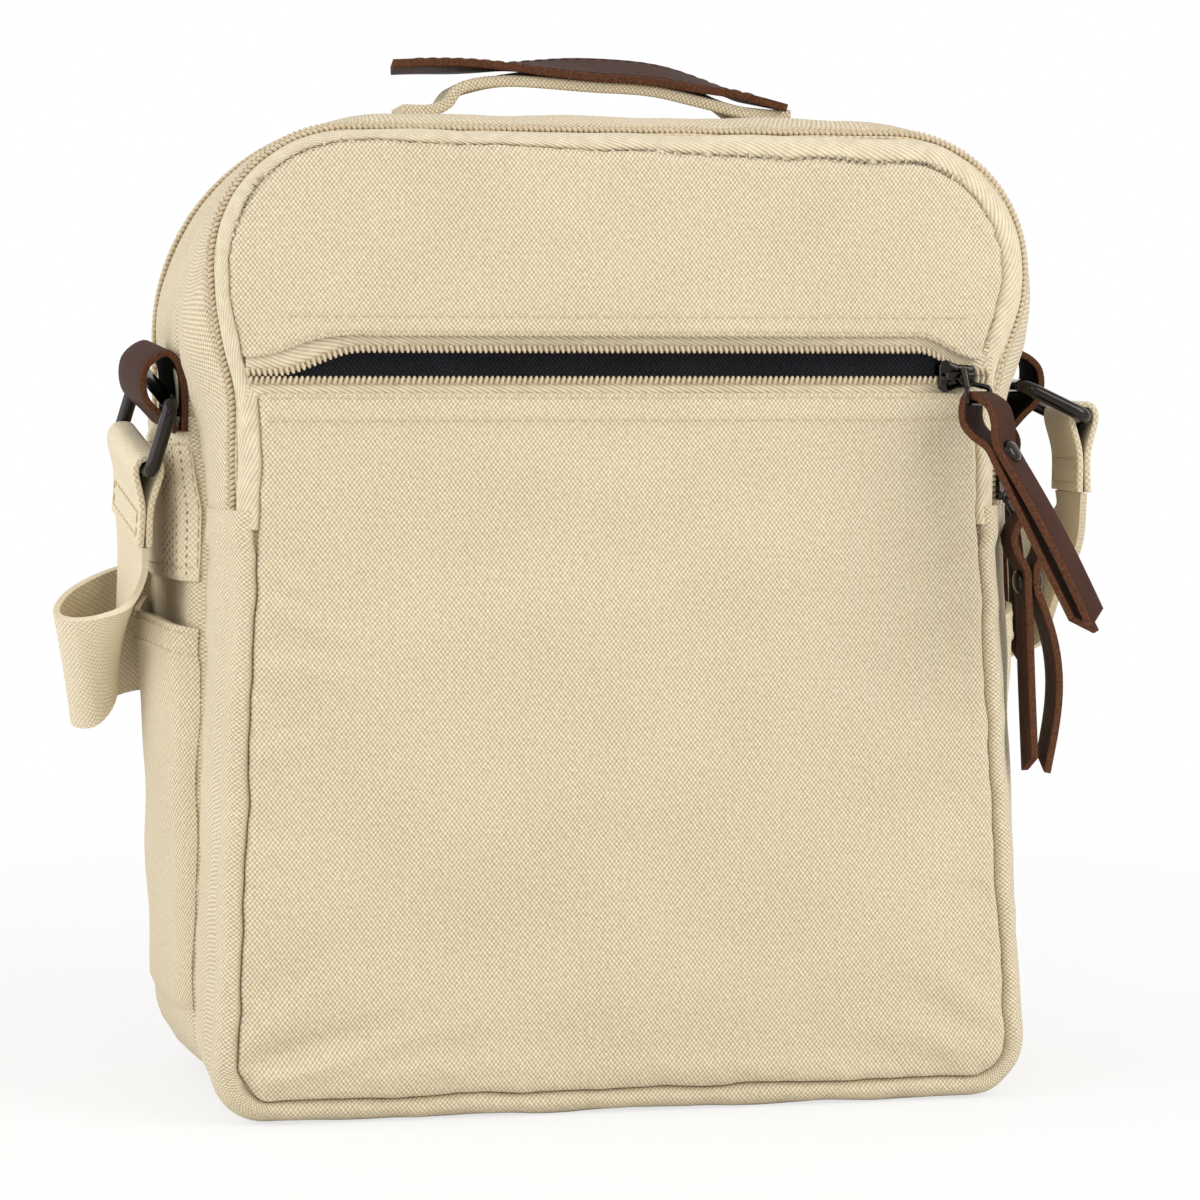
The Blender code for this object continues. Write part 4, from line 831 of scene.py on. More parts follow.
def chain(name, y, start_z, lift, slope):
    """A closed zip over the top at depth y, tilted by slope: two rows of teeth that slant to each other."""
    flat = over_top(np.array([y]), start_z, (60, 60, 120))[0]
    path = np.column_stack((flat[:, 0] + aside(y, flat[:, 1]), np.full(len(flat), y), flat[:, 1]))
    spots = []
    axes = []
    for hand in (-1, 1):
        at, ways, _ = even_steps(path, TOOTH_PITCH, 0.5 + 0.25 * hand)
        level = np.column_stack((-ways[:, 2], np.zeros(len(ways)), ways[:, 0]))
        out = unit(level - (0.0, slope, 0.0))
        across = hand * unit(level * slope + (0.0, 1.0, 0.0))
        spots.append(at + out * lift + across * 0.8)
        axes.append(tooth_axes(ways, out, across, 34.0, 2.3, 0.5, 0.8))
    return repeated(name, spindle_shape(TOOTH, 6), np.vstack(spots), np.concatenate(axes), coil)


dress(chain("front_coil_teeth", FRONT_Y, 157.2, 0.5, 0.6), "bag", "zip_coil", "front_coil")
dress(chain("main_coil_teeth", MAIN_ZIP_Y, 181.2, 0.35, 0.0), "bag", "zip_coil", "main_coil")


def pocket_row(word, low, high, lifted):
    """One row of the pocket's zip: teeth across a level line that lifts with the mouth, on its tape."""
    x = np.linspace(-POCKET_ROW_HALF - 7.4, POCKET_ROW_HALF + 4.8, 240)
    lift = mouth_lift(x) if lifted else np.zeros_like(x)
    middle = (low + high) / 2
    path = np.column_stack((x, np.full(240, -45.75), middle + lift))
    at, ways, _ = even_steps(path, TOOTH_PITCH, 0.25 if lifted else 0.75)
    out = np.broadcast_to((0.0, -1.0, 0.0), at.shape)
    across = np.broadcast_to((0.0, 0.0, -1.0 if lifted else 1.0), at.shape)
    axes = tooth_axes(ways, out, across, 18.0, high - low + 0.5, 0.5, 0.72)
    teeth = repeated("pocket_teeth_" + word, spindle_shape(TOOTH, 6), at, axes, coil)
    dress(teeth, "bag", "zip_coil", "pocket_coil_" + word)
    rows = np.linspace(192.6, UPPER_EDGE_Z + 4.5, 6) if lifted else np.linspace(LOWER_EDGE_Z - 1.5, 191.4, 6)
    roll = 0.35 * np.sin(np.linspace(0, math.pi, 6))[:, None]
    z = rows[:, None] + lift
    grid = np.stack((np.broadcast_to(x, z.shape), np.broadcast_to(-44.95 - roll, z.shape), z), axis=2)
    strip_tape = cloth("pocket_tape_strip_" + word, grid, 0.6, tape)
    dress(strip_tape, "bag", "zip_tape", "pocket_tape_" + word)


pocket_row("lower", 190.05, 191.85, False)
pocket_row("upper", 192.15, 193.95, True)

# Sliders are cast and plated nearly black: a crowned shield on each side of the coil, with a bridge over it.
# The pocket's slider has a closed bridge for its link; the two on the sides have a hook open at the top.
gunmetal, metal_tree, metal_shader, metal_place, metal_cloud = mottled_finish(
    "gunmetal_plate", (0.016, 0.011, 0.009), 0.16, 260.0, 4.0, (0.009, 0.0062, 0.005), (0.024, 0.0175, 0.015),
    metallic=1.0, coat=0.5, coat_roughness=0.06)
metal_worn = math_node(metal_tree, "MULTIPLY_ADD", metal_cloud, 0.12, 0.1)
metal_tree.links.new(metal_worn, metal_shader.inputs["Roughness"])
metal_fine = noise(metal_tree, metal_place, 900.0, 2.0)
raise_surface(metal_tree, metal_shader, metal_fine, 0.03, 0.0001)


def stacked(name, rings, finishes, face_finish=None, spread=None, sharp_deg=40.0):
    """A closed piece from rings of points, one above the other, with a flat end at each."""
    count, around = rings.shape[:2]
    index, quads = ring_faces(count, around)
    faces = quads.tolist() + [index[0][::-1].tolist(), index[-1].tolist()]
    return put_mesh(name, rings.reshape(-1, 3), faces, finishes, spread, face_finish, sharp_deg)


def round_loop(corners, radius, steps):
    """A closed line through the corners, each turned with a radius."""
    corners = np.asarray(corners, float)
    back = np.roll(corners, 1, axis=0) - corners
    ahead = np.roll(corners, -1, axis=0) - corners
    turns = round_turn(corners, back, ahead, np.full(len(corners), radius), steps)
    return turns.reshape(-1, corners.shape[1])


def smooth_curve(points, steps):
    """A Catmull-Rom curve through the points, with the same number of steps between each two."""
    points = np.asarray(points, float)
    ends = np.vstack((2 * points[0] - points[1], points, 2 * points[-1] - points[-2]))
    a, b, c, d = (ends[k:len(ends) - 3 + k, None, :] for k in range(4))
    t = (np.arange(steps) / steps)[None, :, None]
    curve = 0.5 * (2 * b + (c - a) * t + (2 * a - 5 * b + 4 * c - d) * t ** 2
                   + (3 * b - a - 3 * c + d) * t ** 3)
    return np.vstack((curve.reshape(-1, points.shape[1]), points[-1:]))


def strip(name, path, across, width, thick, finishes, edge=0.4, cut=(0.0, 0.0), square=True, inner=0):
    """A rounded bar carried along a path, its width along across; cut slides its two sides apart at each end.

    The second finish is for its two edges, and the third for the face on the inner side, if that is given.
    """
    path = np.asarray(path, float)
    ways = unit(np.gradient(path, axis=0))
    across = np.broadcast_to(np.asarray(across, float), path.shape)
    if square:
        across = unit(across - ways * np.sum(ways * across, axis=1, keepdims=True))
    normal = unit(np.cross(ways, across))
    turn = np.linspace(0, math.pi / 2, 4)
    quarter = np.column_stack((np.cos(turn), np.sin(turn))) * edge + (width / 2 - edge, thick / 2 - edge)
    face = np.linspace(width / 2 - edge, edge - width / 2, 5)[1:-1]
    over = np.column_stack((face, np.full(3, thick / 2)))
    shape = np.vstack((quarter, over, quarter[::-1] * (-1, 1), -quarter, -over, quarter[::-1] * (1, -1)))
    run = distance(path)
    slide = cut[0] * np.clip(1 - run / 7.0, 0, 1) + cut[1] * np.clip(1 - (run[-1] - run) / 7.0, 0, 1)
    slide = (slide[:, None] * shape[:, 0] * 2 / width)[..., None]
    rings = (path[:, None] + across[:, None] * shape[:, :1] + normal[:, None] * shape[:, 1:]
             + ways[:, None] * slide)
    girth = np.broadcast_to(distance(shape), rings.shape[:2])
    spread = np.stack((run[:, None] + slide[..., 0], girth), axis=2) * MM
    rim = np.abs(shape[:, 0] + np.roll(shape[:, 0], -1)) / 2 > width / 2 - edge * 0.8
    painted_shade_face = (shape[:, 1] + np.roll(shape[:, 1], -1)) * inner > 0
    kind = np.where(rim, 1, np.where(painted_shade_face, 2, 0))
    sides = np.concatenate((np.tile(kind, len(path) - 1), (1, 1)))
    one = not isinstance(finishes, (list, tuple))
    return stacked(name, rings, finishes, None if one else sides, spread.reshape(-1, 2))


SHIELD = ((-5.0, -2.8), (0.0, -3.2), (3.0, -4.4), (5.0, -3.2), (5.0, 3.2), (3.0, 4.4), (0.0, 3.2),
          (-5.0, 2.8))
CROWN = ((1.0, 0.9), (1.0, 2.0), (0.95, 2.4), (0.84, 2.68), (0.6, 2.85), (0.25, 2.92))
UNDER = ((0.25, -2.6), (0.7, -2.55), (0.94, -2.4), (1.0, -2.1), (1.0, -1.3))
CLOSED_BRIDGE = ((-4.0, 2.2), (-4.05, 4.4), (-3.3, 5.9), (-1.4, 6.3), (1.4, 6.3), (3.3, 5.9), (4.05, 4.4),
                 (4.0, 2.2))
OPEN_BRIDGE = ((4.2, 2.2), (4.25, 4.4), (3.3, 5.9), (1.0, 6.3), (-2.0, 6.2), (-3.9, 5.2), (-4.3, 3.9))


def slider_pieces(word, centre, travel, out, bridge):
    """A slider's two plates and its bridge, on axes along the zip, across it and away from the cloth."""
    centre, travel, out = (np.asarray(v, float) for v in (centre, travel, out))
    side = np.cross(out, travel)
    outline = round_loop(SHIELD, 0.9, 5)
    for name, levels in (("plate", CROWN), ("back_plate", UNDER)):
        rings = np.stack([centre + outline[:, :1] * s * travel + outline[:, 1:] * s * side + h * out
                          for s, h in levels])
        plate = dress(stacked(word + "_slider_" + name, rings, gunmetal), word + "_slider", "gunmetal")
        if name == "plate":
            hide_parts(word + "_slider")
    arc = smooth_curve(bridge, 5)
    path = centre + arc[:, :1] * travel + arc[:, 1:] * out
    dress(strip(word + "_slider_bridge", path, side, 1.9, 1.2, gunmetal, 0.42), word + "_slider", "gunmetal")


slider_pieces("pocket", (87.5, -45.2, 192.0), (-1, 0, 0), (0, -1, 0), CLOSED_BRIDGE)
slider_pieces("front", (100.16, FRONT_Y, 164.05), (-0.0655, 0, -0.99785), (0.99785, 0, -0.0655), OPEN_BRIDGE)
slider_pieces("main", (117.14, MAIN_ZIP_Y, 188.01), (-0.01415, 0, -0.9999), (0.9999, 0, -0.01415),
              OPEN_BRIDGE)

# Links are bent wire loops, one on each bridge, and the leather pulls hang from their lower bars.
# A pull is one strip folded in two, its tails riveted together below the fold and cut aslant.
LINK_WIRE = 1.5


def wire(name, loop, normal, diameter, finish, sides=14):
    """Round wire along a closed loop: a circle across it at each point, from its normal to its outer side."""
    ways = unit(np.roll(loop, -1, axis=0) - np.roll(loop, 1, axis=0))
    lift = unit(np.asarray(normal, float) - ways * np.sum(ways * normal, axis=1, keepdims=True))
    aside_way = np.cross(ways, lift)
    turn = 2 * math.pi * np.arange(sides) / sides
    circle = np.cos(turn)[:, None] * aside_way[:, None] - np.sin(turn)[:, None] * lift[:, None]
    rings = loop[:, None] + circle * diameter / 2
    index = np.arange(len(loop) * sides).reshape(len(loop), sides)
    index = np.concatenate((index, index[:, :1]), axis=1)
    index = np.concatenate((index, index[:1]), axis=0)
    return put_mesh(name, rings.reshape(-1, 3), grid_faces(index)[:, ::-1], finish)


def straight_steps(loop, pitch):
    """A closed line with points added so that none of its steps is longer than about pitch."""
    closed = np.vstack((loop, loop[:1]))
    run = distance(closed)
    extra = np.arange(0, run[-1], pitch)
    return looked_up(np.unique(np.round(np.concatenate((run[:-1], extra)), 6)), run, closed)


POCKET_LINK = ((87.5, -49.54, 193.75), (87.5, -49.54, 190.6), (94.852, -52.797, 188.99),
               (94.852, -52.797, 185.0), (86.148, -61.203, 185.0), (86.148, -61.203, 188.5),
               (87.5, -53.26, 193.75))
FRONT_LINK_TOP = np.array((104.02, FRONT_Y, 161.84))
MAIN_LINK_TOP = np.array((121.11, MAIN_ZIP_Y, 186.0))
LINK_FALL = np.array((5.0, 0.0, -9.0))
LINK_HALF = np.array((0.0, 6.05, 0.0))


def side_link(top):
    """Corners of a link that hangs out from its bridge."""
    return (top - LINK_HALF, top + LINK_FALL - LINK_HALF, top + LINK_FALL + LINK_HALF, top + LINK_HALF)


for word, corners, normal in (("pocket", POCKET_LINK, (0.92, -0.39, 0)),
                              ("front", side_link(FRONT_LINK_TOP), (9.0, 0, 5.0)),
                              ("main", side_link(MAIN_LINK_TOP), (9.0, 0, 5.0))):
    loop = straight_steps(round_loop(corners, LINK_WIRE, 6), 1.5)
    link = wire(word + "_link_wire", loop, normal, LINK_WIRE, gunmetal)
    dress(link, word + "_link", "gunmetal", word + "_link")

hide, hide_tree, hide_shader, hide_place, hide_cloud = mottled_finish(
    "brown_leather", (0.068, 0.030, 0.021), 0.5, 90.0, 5.0, (0.026, 0.0105, 0.0068), (0.078, 0.033, 0.021),
    shine=0.07)
hide_inputs = {"Vector": hide_place, "Scale": 1100.0}
hide_cells = node(hide_tree, "ShaderNodeTexVoronoi", hide_inputs, feature="SMOOTH_F1")
hide_worn = math_node(hide_tree, "MULTIPLY_ADD", hide_cloud, 0.3, 0.42)
hide_tree.links.new(hide_worn, hide_shader.inputs["Roughness"])
hide_height = math_node(hide_tree, "MULTIPLY_ADD", hide_cloud, 0.8, hide_cells.outputs[0])
raise_surface(hide_tree, hide_shader, hide_height, 0.35, 0.0004)
raw_edge, raw_tree, raw_shader, _, raw_fibre = mottled_finish(
    "raw_leather_edge", (0.19, 0.085, 0.05), 0.9, 1300.0, 4.0, (0.014, 0.006, 0.004), (0.19, 0.08, 0.042),
    shine=0.05)
raise_surface(raw_tree, raw_shader, raw_fibre, 0.8, 0.0006)
# A near-black leather finish for the tab's inner face: painted shade in the hollow of the fold.
tab_hollow_painted_shade = plain_finish("leather_inner_painted_shade", (0.012, 0.007, 0.006), 0.95, shine=0.08)[0]

PULL_SIDE = ((66.0, 1.9), (47.5, 1.7), (29.7, 1.4), (20.0, 1.3), (14.0, 1.3), (9.35, 3.52), (5.1, 4.4),
             (1.36, 2.86))
DOME = ((0.0, -3.75), (1.2, -3.72), (2.3, -3.45), (2.95, -3.0), (3.15, -2.35), (3.15, -2.2), (1.2, -2.1),
        (1.2, 2.1), (3.15, 2.2), (3.15, 2.35), (2.95, 3.0), (2.3, 3.45), (1.2, 3.72), (0.0, 3.75))


def pull_pieces(word, bar, lean, turn, bow):
    """A folded pull on its link's bar, leaning the way it is turned, one tail bowed out, with its rivet."""
    lean = math.radians(lean)
    turn = math.radians(turn)
    facing = np.array((math.cos(turn), -math.sin(turn), 0.0))
    up = np.array((0.0, 0.0, 1.0))
    down = math.sin(lean) * facing - math.cos(lean) * up
    side = math.cos(lean) * facing + math.sin(lean) * up
    wide = np.cross(side, down)
    fold = np.asarray(bar, float) - down * 1.2
    curve = smooth_curve(PULL_SIDE + ((-1.0, 0.0),) + tuple((a, -b) for a, b in reversed(PULL_SIDE)), 7)
    share = np.clip((curve[:, 0] - 20.0) / 46.0, 0, 1)
    out = curve[:, 1] + np.where(curve[:, 1] > 0, bow, 0.0) * np.sin(math.pi * share ** 0.9)
    path = fold + curve[:, :1] * down + out[:, None] * side
    leather = strip(word + "_pull_leather", path, wide, 10.0, 2.0, [hide, raw_edge], 0.35, (2.2, 2.2))
    dress(leather, word + "_pull", "leather", word + "_pull")
    around = 2 * math.pi * np.arange(28) / 28
    circle = np.cos(around)[:, None] * wide + np.sin(around)[:, None] * np.cross(side, wide)
    rings = np.stack([fold + down * 17.0 + circle * max(r, 0.02) + side * h for r, h in DOME])
    rivet = stacked(word + "_rivet_dome", rings, gunmetal, sharp_deg=55.0)
    dress(rivet, word + "_pull", "gunmetal", word + "_pull_rivet")


pull_pieces("pocket", (90.5, -57.0, 185.0), 30.0, 46.0, 0.8)
pull_pieces("front", (109.02, FRONT_Y, 152.84), 3.0, 0.0, 4.5)
pull_pieces("main", (126.11, MAIN_ZIP_Y, 177.0), 3.0, 0.0, 2.0)

# Each side has an open pocket with a slanted hemmed mouth, and above it a patch of webbing under the tab.
# Both are sewn to the gusset round their edges.
WEBBING_LIGHT = (0.86, 0.765, 0.555)
WEBBING_SHADE = (0.48, 0.39, 0.255)
FLOAT_PITCH = 0.0008
FLOAT_LENGTH = 0.0009


def webbing_finish(name, light, shade):
    """Ribbed webbing: rows of short floats, each row half a step from the next, with a pit between floats."""
    finish, tree, shader = plain_finish(name, light, 0.92, sheen=0.15, shine=0.25)
    place, along, across = cloth_place(tree)
    uneven = noise(tree, place, 350.0, 2.0)
    along = math_node(tree, "MULTIPLY_ADD", uneven, 0.0008, along)
    rows = math_node(tree, "COSINE", math_node(tree, "MULTIPLY", across, math.pi / FLOAT_PITCH))
    steps = math_node(tree, "COSINE", math_node(tree, "MULTIPLY", along, math.pi / FLOAT_LENGTH))
    slope = math_node(tree, "ADD", along, across)
    lean = math_node(tree, "SINE", math_node(tree, "MULTIPLY", slope, 2 * math.pi / FLOAT_PITCH))
    floats = math_node(tree, "MULTIPLY_ADD", math_node(tree, "MULTIPLY", rows, steps), 0.42, 0.5)
    height = math_node(tree, "MULTIPLY_ADD", lean, 0.14, floats)
    fuzz = noise(tree, place, 1400.0, 2.0)
    tone = math_node(tree, "MULTIPLY_ADD", fuzz, 0.5, math_node(tree, "MULTIPLY_ADD", height, 0.95, -0.1))
    mottle(tree, shader, tone, shade, light)
    raise_surface(tree, shader, height, 0.6, 0.0005)
    return finish


webbing = webbing_finish("ribbed_webbing", WEBBING_LIGHT, WEBBING_SHADE)
SIDE_Y = dense(-6.2, 47.6, 40)
SIDE_DEPTH = 53.8
POUCH_LOW_Z = 24.0
PATCH_LOW_Z = 137.6
PATCH_TOP_Z = 177.4
# The pits are dark brown dots: painted shade in the webbing's pits.
pit = plain_finish("webbing_pit_painted_shade", (0.33, 0.255, 0.16), 0.95)[0]


def side_grid(hand, z, stand):
    """Points on a side of the bag: depths by heights, moved out by stand, turned to face outwards."""
    x = side_x(SIDE_Y, z) + stand
    grid = np.stack((hand * x, np.broadcast_to(SIDE_Y[:, None], x.shape), z), axis=2).transpose(1, 0, 2)
    return grid if hand > 0 else grid[:, ::-1]


def side_pieces(word, hand):
    """The pocket and the patch of one side, with their stitching."""
    across = ((SIDE_Y - SIDE_Y[0]) / (SIDE_Y[-1] - SIDE_Y[0]))[:, None]
    t = np.linspace(0, 1, 56)[None, :]
    mouth = 125.0 + 6.0 * across + 1.2 * np.sin(2 * math.pi * across)
    z = POUCH_LOW_Z + (mouth - POUCH_LOW_Z) * t
    side_edge = np.minimum(across, 1 - across) * SIDE_DEPTH
    edge = np.minimum(side_edge, t * 104.0)
    stand = 2.3 - 1.1 * np.exp(-edge / 1.3) + 5.2 * t ** 1.3 * np.sin(math.pi * across) ** 0.8
    stand = stand + 0.7 / (1 + np.exp(-(z - mouth + 8.5) / 0.4))
    stand = stand + 0.5 * wander(z + 30 * across, 44.0, 61 + hand)
    pouch = side_grid(hand, z, stand)
    dress(cloth("side_pocket_canvas_" + word, pouch, 1.5, canvas), "bag", "canvas", "side_pocket_" + word)
    patch_z = np.broadcast_to(np.linspace(PATCH_LOW_Z, PATCH_TOP_Z, 24), (len(SIDE_Y), 24))
    rim = np.minimum(side_edge, np.minimum(patch_z - PATCH_LOW_Z, PATCH_TOP_Z - patch_z))
    thick = 2.6 - 0.8 * np.exp(-rim / 0.8) + 0.2 * wander(patch_z + 20 * across, 23.0, 71)
    cover = side_grid(hand, patch_z, thick)
    dress(cloth("side_patch_webbing_" + word, cover, 1.9, webbing), "bag", "webbing", "side_patch_" + word)
    # Columns of dark dots on the patch, painted shade in its pits.
    dots = np.array([(y, z + 1.1 * (k % 2)) for k, y in enumerate(np.linspace(-3.6, 17.0, 7))
                     for z in np.arange(139.6, 175.0, 2.3)])
    dot_x = side_x(dots[:, 0], dots[:, 1:])[:, 0] + 2.5
    axes = np.broadcast_to(((0, 0, 1.0), (0, 0.42, 0), (0.35, 0, 0)), (len(dots), 3, 3))
    spots = np.column_stack((hand * dot_x, dots))
    dress(repeated("side_patch_pits_" + word, spindle_shape(SPINDLE, 6), spots, axes, pit), "bag", "webbing")
    rows = (pouch[-2, 2:-2], pouch[-5, 2:-2], cover[2, 2:-2], cover[-3, 2:-2], cover[2:-2, 2],
            cover[2:-2, -3])
    stitches("side_stitches_" + word, [(row, (hand, 0, 0)) for row in rows])


side_pieces("left", -1)
side_pieces("right", 1)

# A leather tab on each side is folded round the ring's bar and sewn down through the patch.
# The rings are bent from thick wire and swing in the fold.
TAB_LINE = ((1.2, 178.8), (1.2, 189.3), (2.7, 196.5), (6.2, 199.6), (11.5, 195.5), (11.5, 187.8),
            (6.5, 182.3), (3.3, 178.8))
TAB_YAW = 0.13
TAB_RISE = 0.1
RING_BAR_X = 119.63
RING_Y = 8.0
RING_HALF = 22.0
RING_DROP = 19.0


def ring_axes(hand, swing_deg, slope):
    """A ring's bar, its lower bar, and the directions along it, up and away from the bag."""
    bar = np.array((hand * RING_BAR_X, RING_Y, 189.3))
    along = unit(np.array((hand * TAB_YAW, 1.0, slope)))
    upward = unit(np.array((0.0, 0.0, 1.0)) - along[2] * along)
    outward = hand * np.cross(along, upward)
    swing = math.radians(swing_deg)
    drop = (math.sin(swing) * outward - math.cos(swing) * upward) * RING_DROP
    return bar, bar + drop, along, upward, outward


def tab_and_ring(word, hand, axes):
    """The folded tab and the ring in it."""
    line = smooth_curve(TAB_LINE, 6)
    x = RING_BAR_X - 6.0 + line[:, 0]
    path = np.column_stack((hand * x, np.full(len(x), RING_Y), line[:, 1]))
    # The inner face of the tab takes the near-black finish, painted shade inside its hollow.
    tab = strip("ring_tab_leather_" + word, path, (hand * TAB_YAW, 1.0, TAB_RISE), 30.0, 1.8,
                [hide, raw_edge, tab_hollow_painted_shade], 0.3, square=False, inner=-hand)
    dress(tab, "bag", "leather", "ring_tab_" + word)
    bar, low_bar, along, _, _ = axes
    reach = along * RING_HALF
    loop = round_loop((bar - reach, low_bar - reach, low_bar + reach, bar + reach), 3.2, 8)
    normal = np.cross(low_bar - bar, reach)
    ring = wire("ring_wire_" + word, straight_steps(loop, 3.0), normal, 4.0, gunmetal, 22)
    dress(ring, "ring_" + word, "gunmetal", "ring_" + word)


left_axes = ring_axes(-1, 14.0, 0.24)
right_axes = ring_axes(1, 64.0, 0.0)
tab_and_ring("left", -1, left_axes)
tab_and_ring("right", 1, right_axes)

# The strap is one length of ribbed cotton webbing, sewn into a loop round each ring.
# It curls off the left ring, passes behind the bag, is folded on edge there, and comes up to the right ring.
WEBBING = 1.8
WEBBING_WIDTH = 38.0
LOOP_SIDE = ((1.15, -21.0), (1.15, -10.3), (3.3, -1.0), (2.475, 2.475))


def strap_loop(word, axes):
    """Webbing once round a ring's lower bar, its layers sewn together below; returns the ends of its edge."""
    _, low_bar, along, upward, outward = axes
    flat = smooth_curve(LOOP_SIDE + ((0.0, 3.3),) + tuple((-u, v) for u, v in reversed(LOOP_SIDE)), 8)
    path = low_bar + flat[:, :1] * outward + flat[:, 1:] * upward
    loop = strip("strap_loop_webbing_" + word, path, along, WEBBING_WIDTH, WEBBING, webbing, 0.5)
    dress(loop, "ring_" + word, "webbing", "strap_loop_" + word)
    rows = []
    for hand in (-1, 1):
        face = low_bar + hand * outward * 2.05
        low, high, reach = -18.5 * upward, -12.0 * upward, 16.0 * along
        corners = (low - reach, low + reach, high + reach, high - reach, low - reach)
        rows += [(np.linspace(face + a, face + b, 12), hand * outward) for a, b in zip(corners, corners[1:])]
    stitches("strap_loop_stitches_" + word, rows, "ring_" + word)
    end = low_bar - upward * 21.3
    return tuple(end - along * WEBBING_WIDTH / 2), tuple(end + along * WEBBING_WIDTH / 2)


left_ends = strap_loop("left", left_axes)
right_ends = strap_loop("right", right_axes)
LEFT_ROUTE = [left_ends, ((-123.5, -4.0, 139.0), (-127.5, 30.0, 141.0)),
              ((-127.5, -4.0, 131.5), (-128.5, 29.0, 117.0)), ((-135.0, 2.0, 128.0), (-129.5, 29.0, 104.0)),
              ((-142.0, 9.0, 127.0), (-134.0, 30.0, 97.0)), ((-145.5, 18.0, 128.5), (-139.0, 36.0, 96.0)),
              ((-142.0, 28.0, 133.0), (-139.0, 44.0, 98.5)), ((-133.0, 36.0, 137.5), (-131.0, 50.0, 102.0)),
              ((-122.0, 46.0, 140.0), (-120.0, 58.0, 104.0)), ((-110.0, 57.0, 139.0), (-106.0, 64.0, 102.0)),
              ((-86.0, 61.0, 131.0), (-94.0, 64.0, 94.0)), ((-40.5, 61.0, 108.5), (-59.5, 61.0, 75.5)),
              ((9.5, 61.0, 76.5), (-9.5, 61.0, 43.5)), ((47.0, 61.0, 50.5), (33.0, 61.0, 15.5)),
              ((66.0, 61.0, 39.5), (66.0, 61.0, 1.5))]
RIGHT_ROUTE = [((-50.7, 86.6, 39.0), (-39.0, 90.4, 3.0)), ((-20.6, 76.5, 56.0), (-3.4, 95.5, 28.0)),
               ((20.0, 60.0, 60.0), (12.0, 97.0, 64.0)), ((49.0, 62.0, 70.0), (33.0, 83.0, 97.0)),
               ((72.0, 66.0, 85.0), (58.0, 74.0, 119.0)), ((95.0, 68.0, 95.0), (87.0, 71.0, 132.0)),
               ((115.0, 65.0, 103.0), (111.0, 71.0, 140.0)), ((131.0, 53.0, 109.0), (130.0, 63.0, 145.5)),
               ((137.0, 34.0, 115.0), (139.5, 49.0, 149.5)), ((133.0, 16.0, 121.0), (140.5, 38.0, 151.0)),
               ((131.5, 2.0, 131.0), (140.0, 31.0, 153.0)), ((134.5, -7.5, 145.0), (140.5, 28.0, 155.5)),
               right_ends]
FOLD_RUNS = 4
FOLD_HALF_LENGTH = 82.0
FOLD_FIRST_Y = 61.0
FOLD_STEP = 6.0


def folded_runs():
    """Runs on edge behind the bag, joined by half turns at alternate ends."""
    spots = []
    for k in range(FOLD_RUNS):
        middle = FOLD_FIRST_Y + FOLD_STEP * (k + 0.5)
        outward = 1 if k % 2 == 0 else -1
        turn = np.linspace(-math.pi / 2, math.pi / 2, 5)
        spots += list(zip(outward * (FOLD_HALF_LENGTH + FOLD_STEP / 2 * np.cos(turn)),
                          middle + FOLD_STEP / 2 * np.sin(turn)))
        spots.append((-outward * FOLD_HALF_LENGTH / 2, middle + FOLD_STEP / 2))
    return [((x, y, 38.3), (x, y, 0.3)) for x, y in spots[:-1]]


STEPS = 8
run_edges = smooth_curve([tuple(a) + tuple(b) for a, b in LEFT_ROUTE + folded_runs() + RIGHT_ROUTE], STEPS)
RUN_ACROSS = np.linspace(0.0, 1.0, 11)
run_grid = run_edges[:, None, 3:] * (1 - RUN_ACROSS[:, None]) + run_edges[:, None, :3] * RUN_ACROSS[:, None]
run_normal = unit(np.cross(np.gradient(run_grid, axis=1), np.gradient(run_grid, axis=0)))
run_grid = run_grid + run_normal * WEBBING / 2
run_length = distance(run_grid[:, 5])
run_spread = np.stack((np.repeat(run_length[:, None], 11, axis=1),
                       np.tile(RUN_ACROSS * WEBBING_WIDTH, (len(run_grid), 1))), axis=2) * MM
# Rows where the strap is cut into its left end, its folded run and its right end
LEFT_END = 5 * STEPS
RIGHT_END = len(run_grid) - 1 - 5 * STEPS


def strap_piece(name, first, last):
    """A length of the strap between two rows of its grid, in webbing."""
    piece = cloth(name, run_grid[first:last + 1], WEBBING, webbing, run_spread[first:last + 1])
    return piece


left_end = strap_piece("strap_left_end", 0, LEFT_END)
run_middle = strap_piece("strap_folded_run", LEFT_END, RIGHT_END)
right_end = strap_piece("strap_right_end", RIGHT_END, len(run_grid) - 1)
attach(run_middle, "bag")
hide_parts("strap_run")
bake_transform(left_end)
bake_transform(right_end)

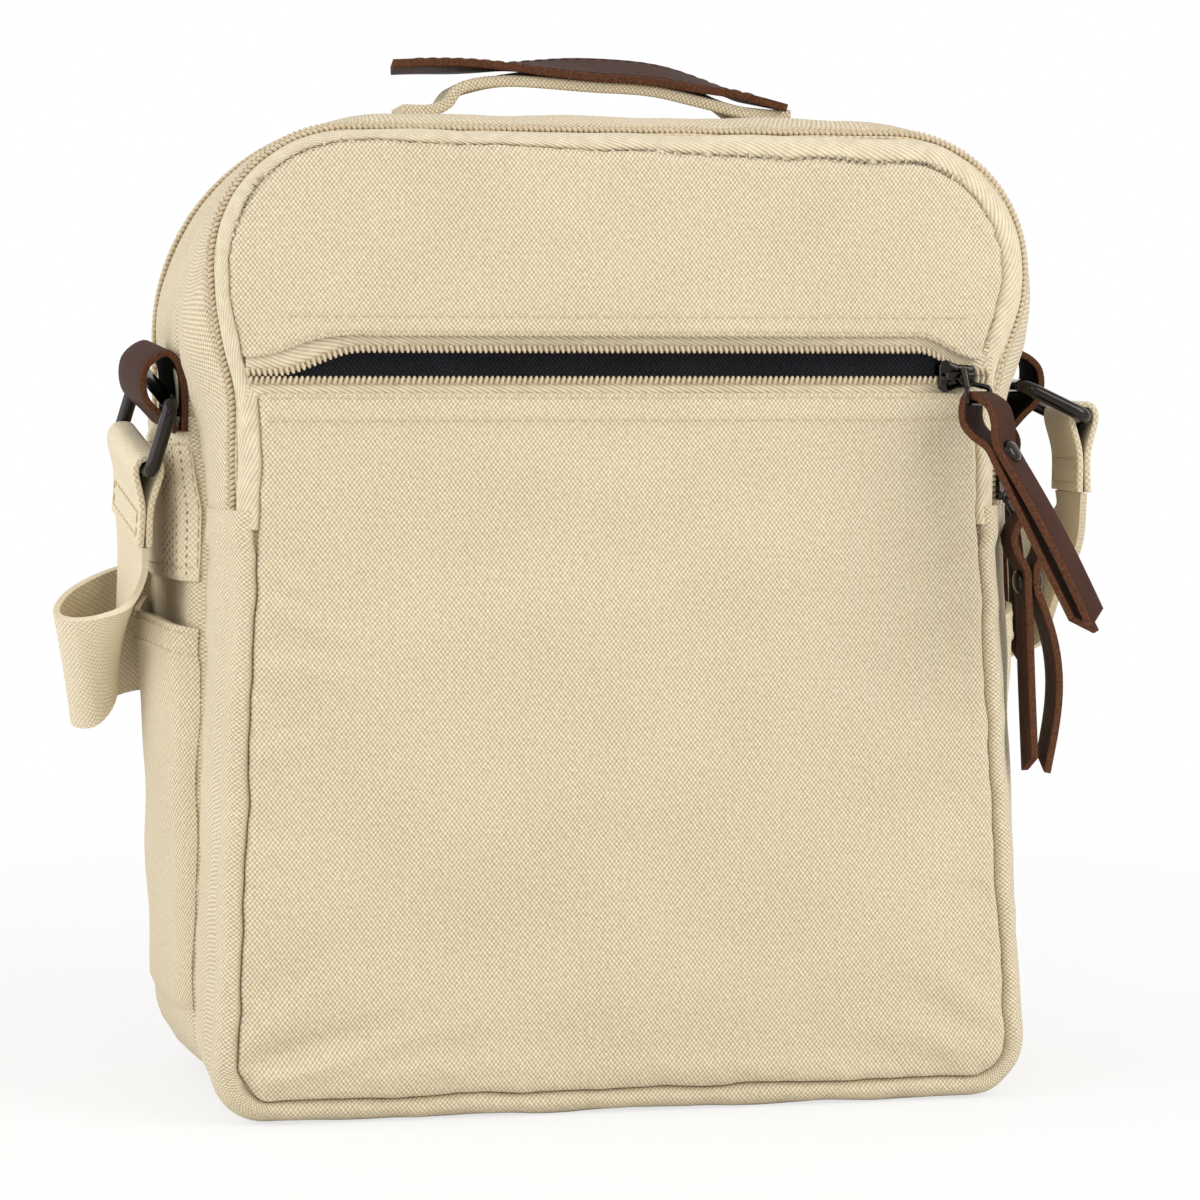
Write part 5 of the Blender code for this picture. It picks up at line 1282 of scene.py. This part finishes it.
# The carry handle is a canvas strap sewn down at both feet, with a thick leather cover stitched on its arch.
# The cover's raw edges show, and its ends are cut aslant.
HANDLE_Y = 16.0
HANDLE_BASE = section(np.array([28.0]))[0, 4]
HANDLE_LINE = ((-53.0, 1.9), (-46.0, 1.9), (-41.0, 3.8), (-36.5, 8.4), (-22.2, 11.2), (0.0, 11.7),
               (18.0, 10.6), (34.0, 6.2), (42.0, 2.9), (48.0, 1.9), (55.0, 1.9))
COVER_LINE = ((-54.5, 14.4), (-46.0, 14.8), (-34.0, 14.9), (-16.0, 14.8), (0.0, 14.6), (18.0, 13.6),
              (34.0, 10.4), (44.0, 7.6), (50.0, 6.0))


def handle_path(line):
    """A smooth arch over the top, through the points of a line in width and height."""
    line = smooth_curve(line, 6)
    return np.column_stack((line[:, 0], np.full(len(line), HANDLE_Y), HANDLE_BASE + line[:, 1]))


def leaning(path, foot_x):
    """The handle's width, tilted down at the front by up to 0.26: more from the left, less at the right."""
    x = path[:, 0]
    tilt = 0.26 * smooth_step((x + 40.0) / 45.0) * (1 - 0.62 * smooth_step((x - 22.0) / 26.0))
    tilt = tilt * (1 - smooth_step((x - foot_x) / 10.0))
    return unit(np.column_stack((np.zeros(len(x)), np.ones(len(x)), tilt)))


strap_path = handle_path(HANDLE_LINE)
handle_strap = strip("handle_strap_canvas", strap_path, leaning(strap_path, 36.0), 24.0, 3.2, canvas, 0.7)
dress(handle_strap, "bag", "canvas", "handle_strap")
cover_path = handle_path(COVER_LINE)
cover_across = leaning(cover_path, 60.0)
handle_cover = strip("handle_cover_leather", cover_path, cover_across, 28.0, 2.2, [hide, raw_edge], 0.35,
                     (1.5, -4.0))
dress(handle_cover, "bag", "leather", "handle_cover")
brown_thread = plain_finish("brown_thread", (0.10, 0.055, 0.035), 0.6)[0]
cover_rows = [((cover_path + cover_across * 11.4 * side + (0.0, 0.0, 1.15))[3:-4], (0, 0, 1))
              for side in (-1, 1)]
stitches("handle_cover_stitches", cover_rows, finish=brown_thread)
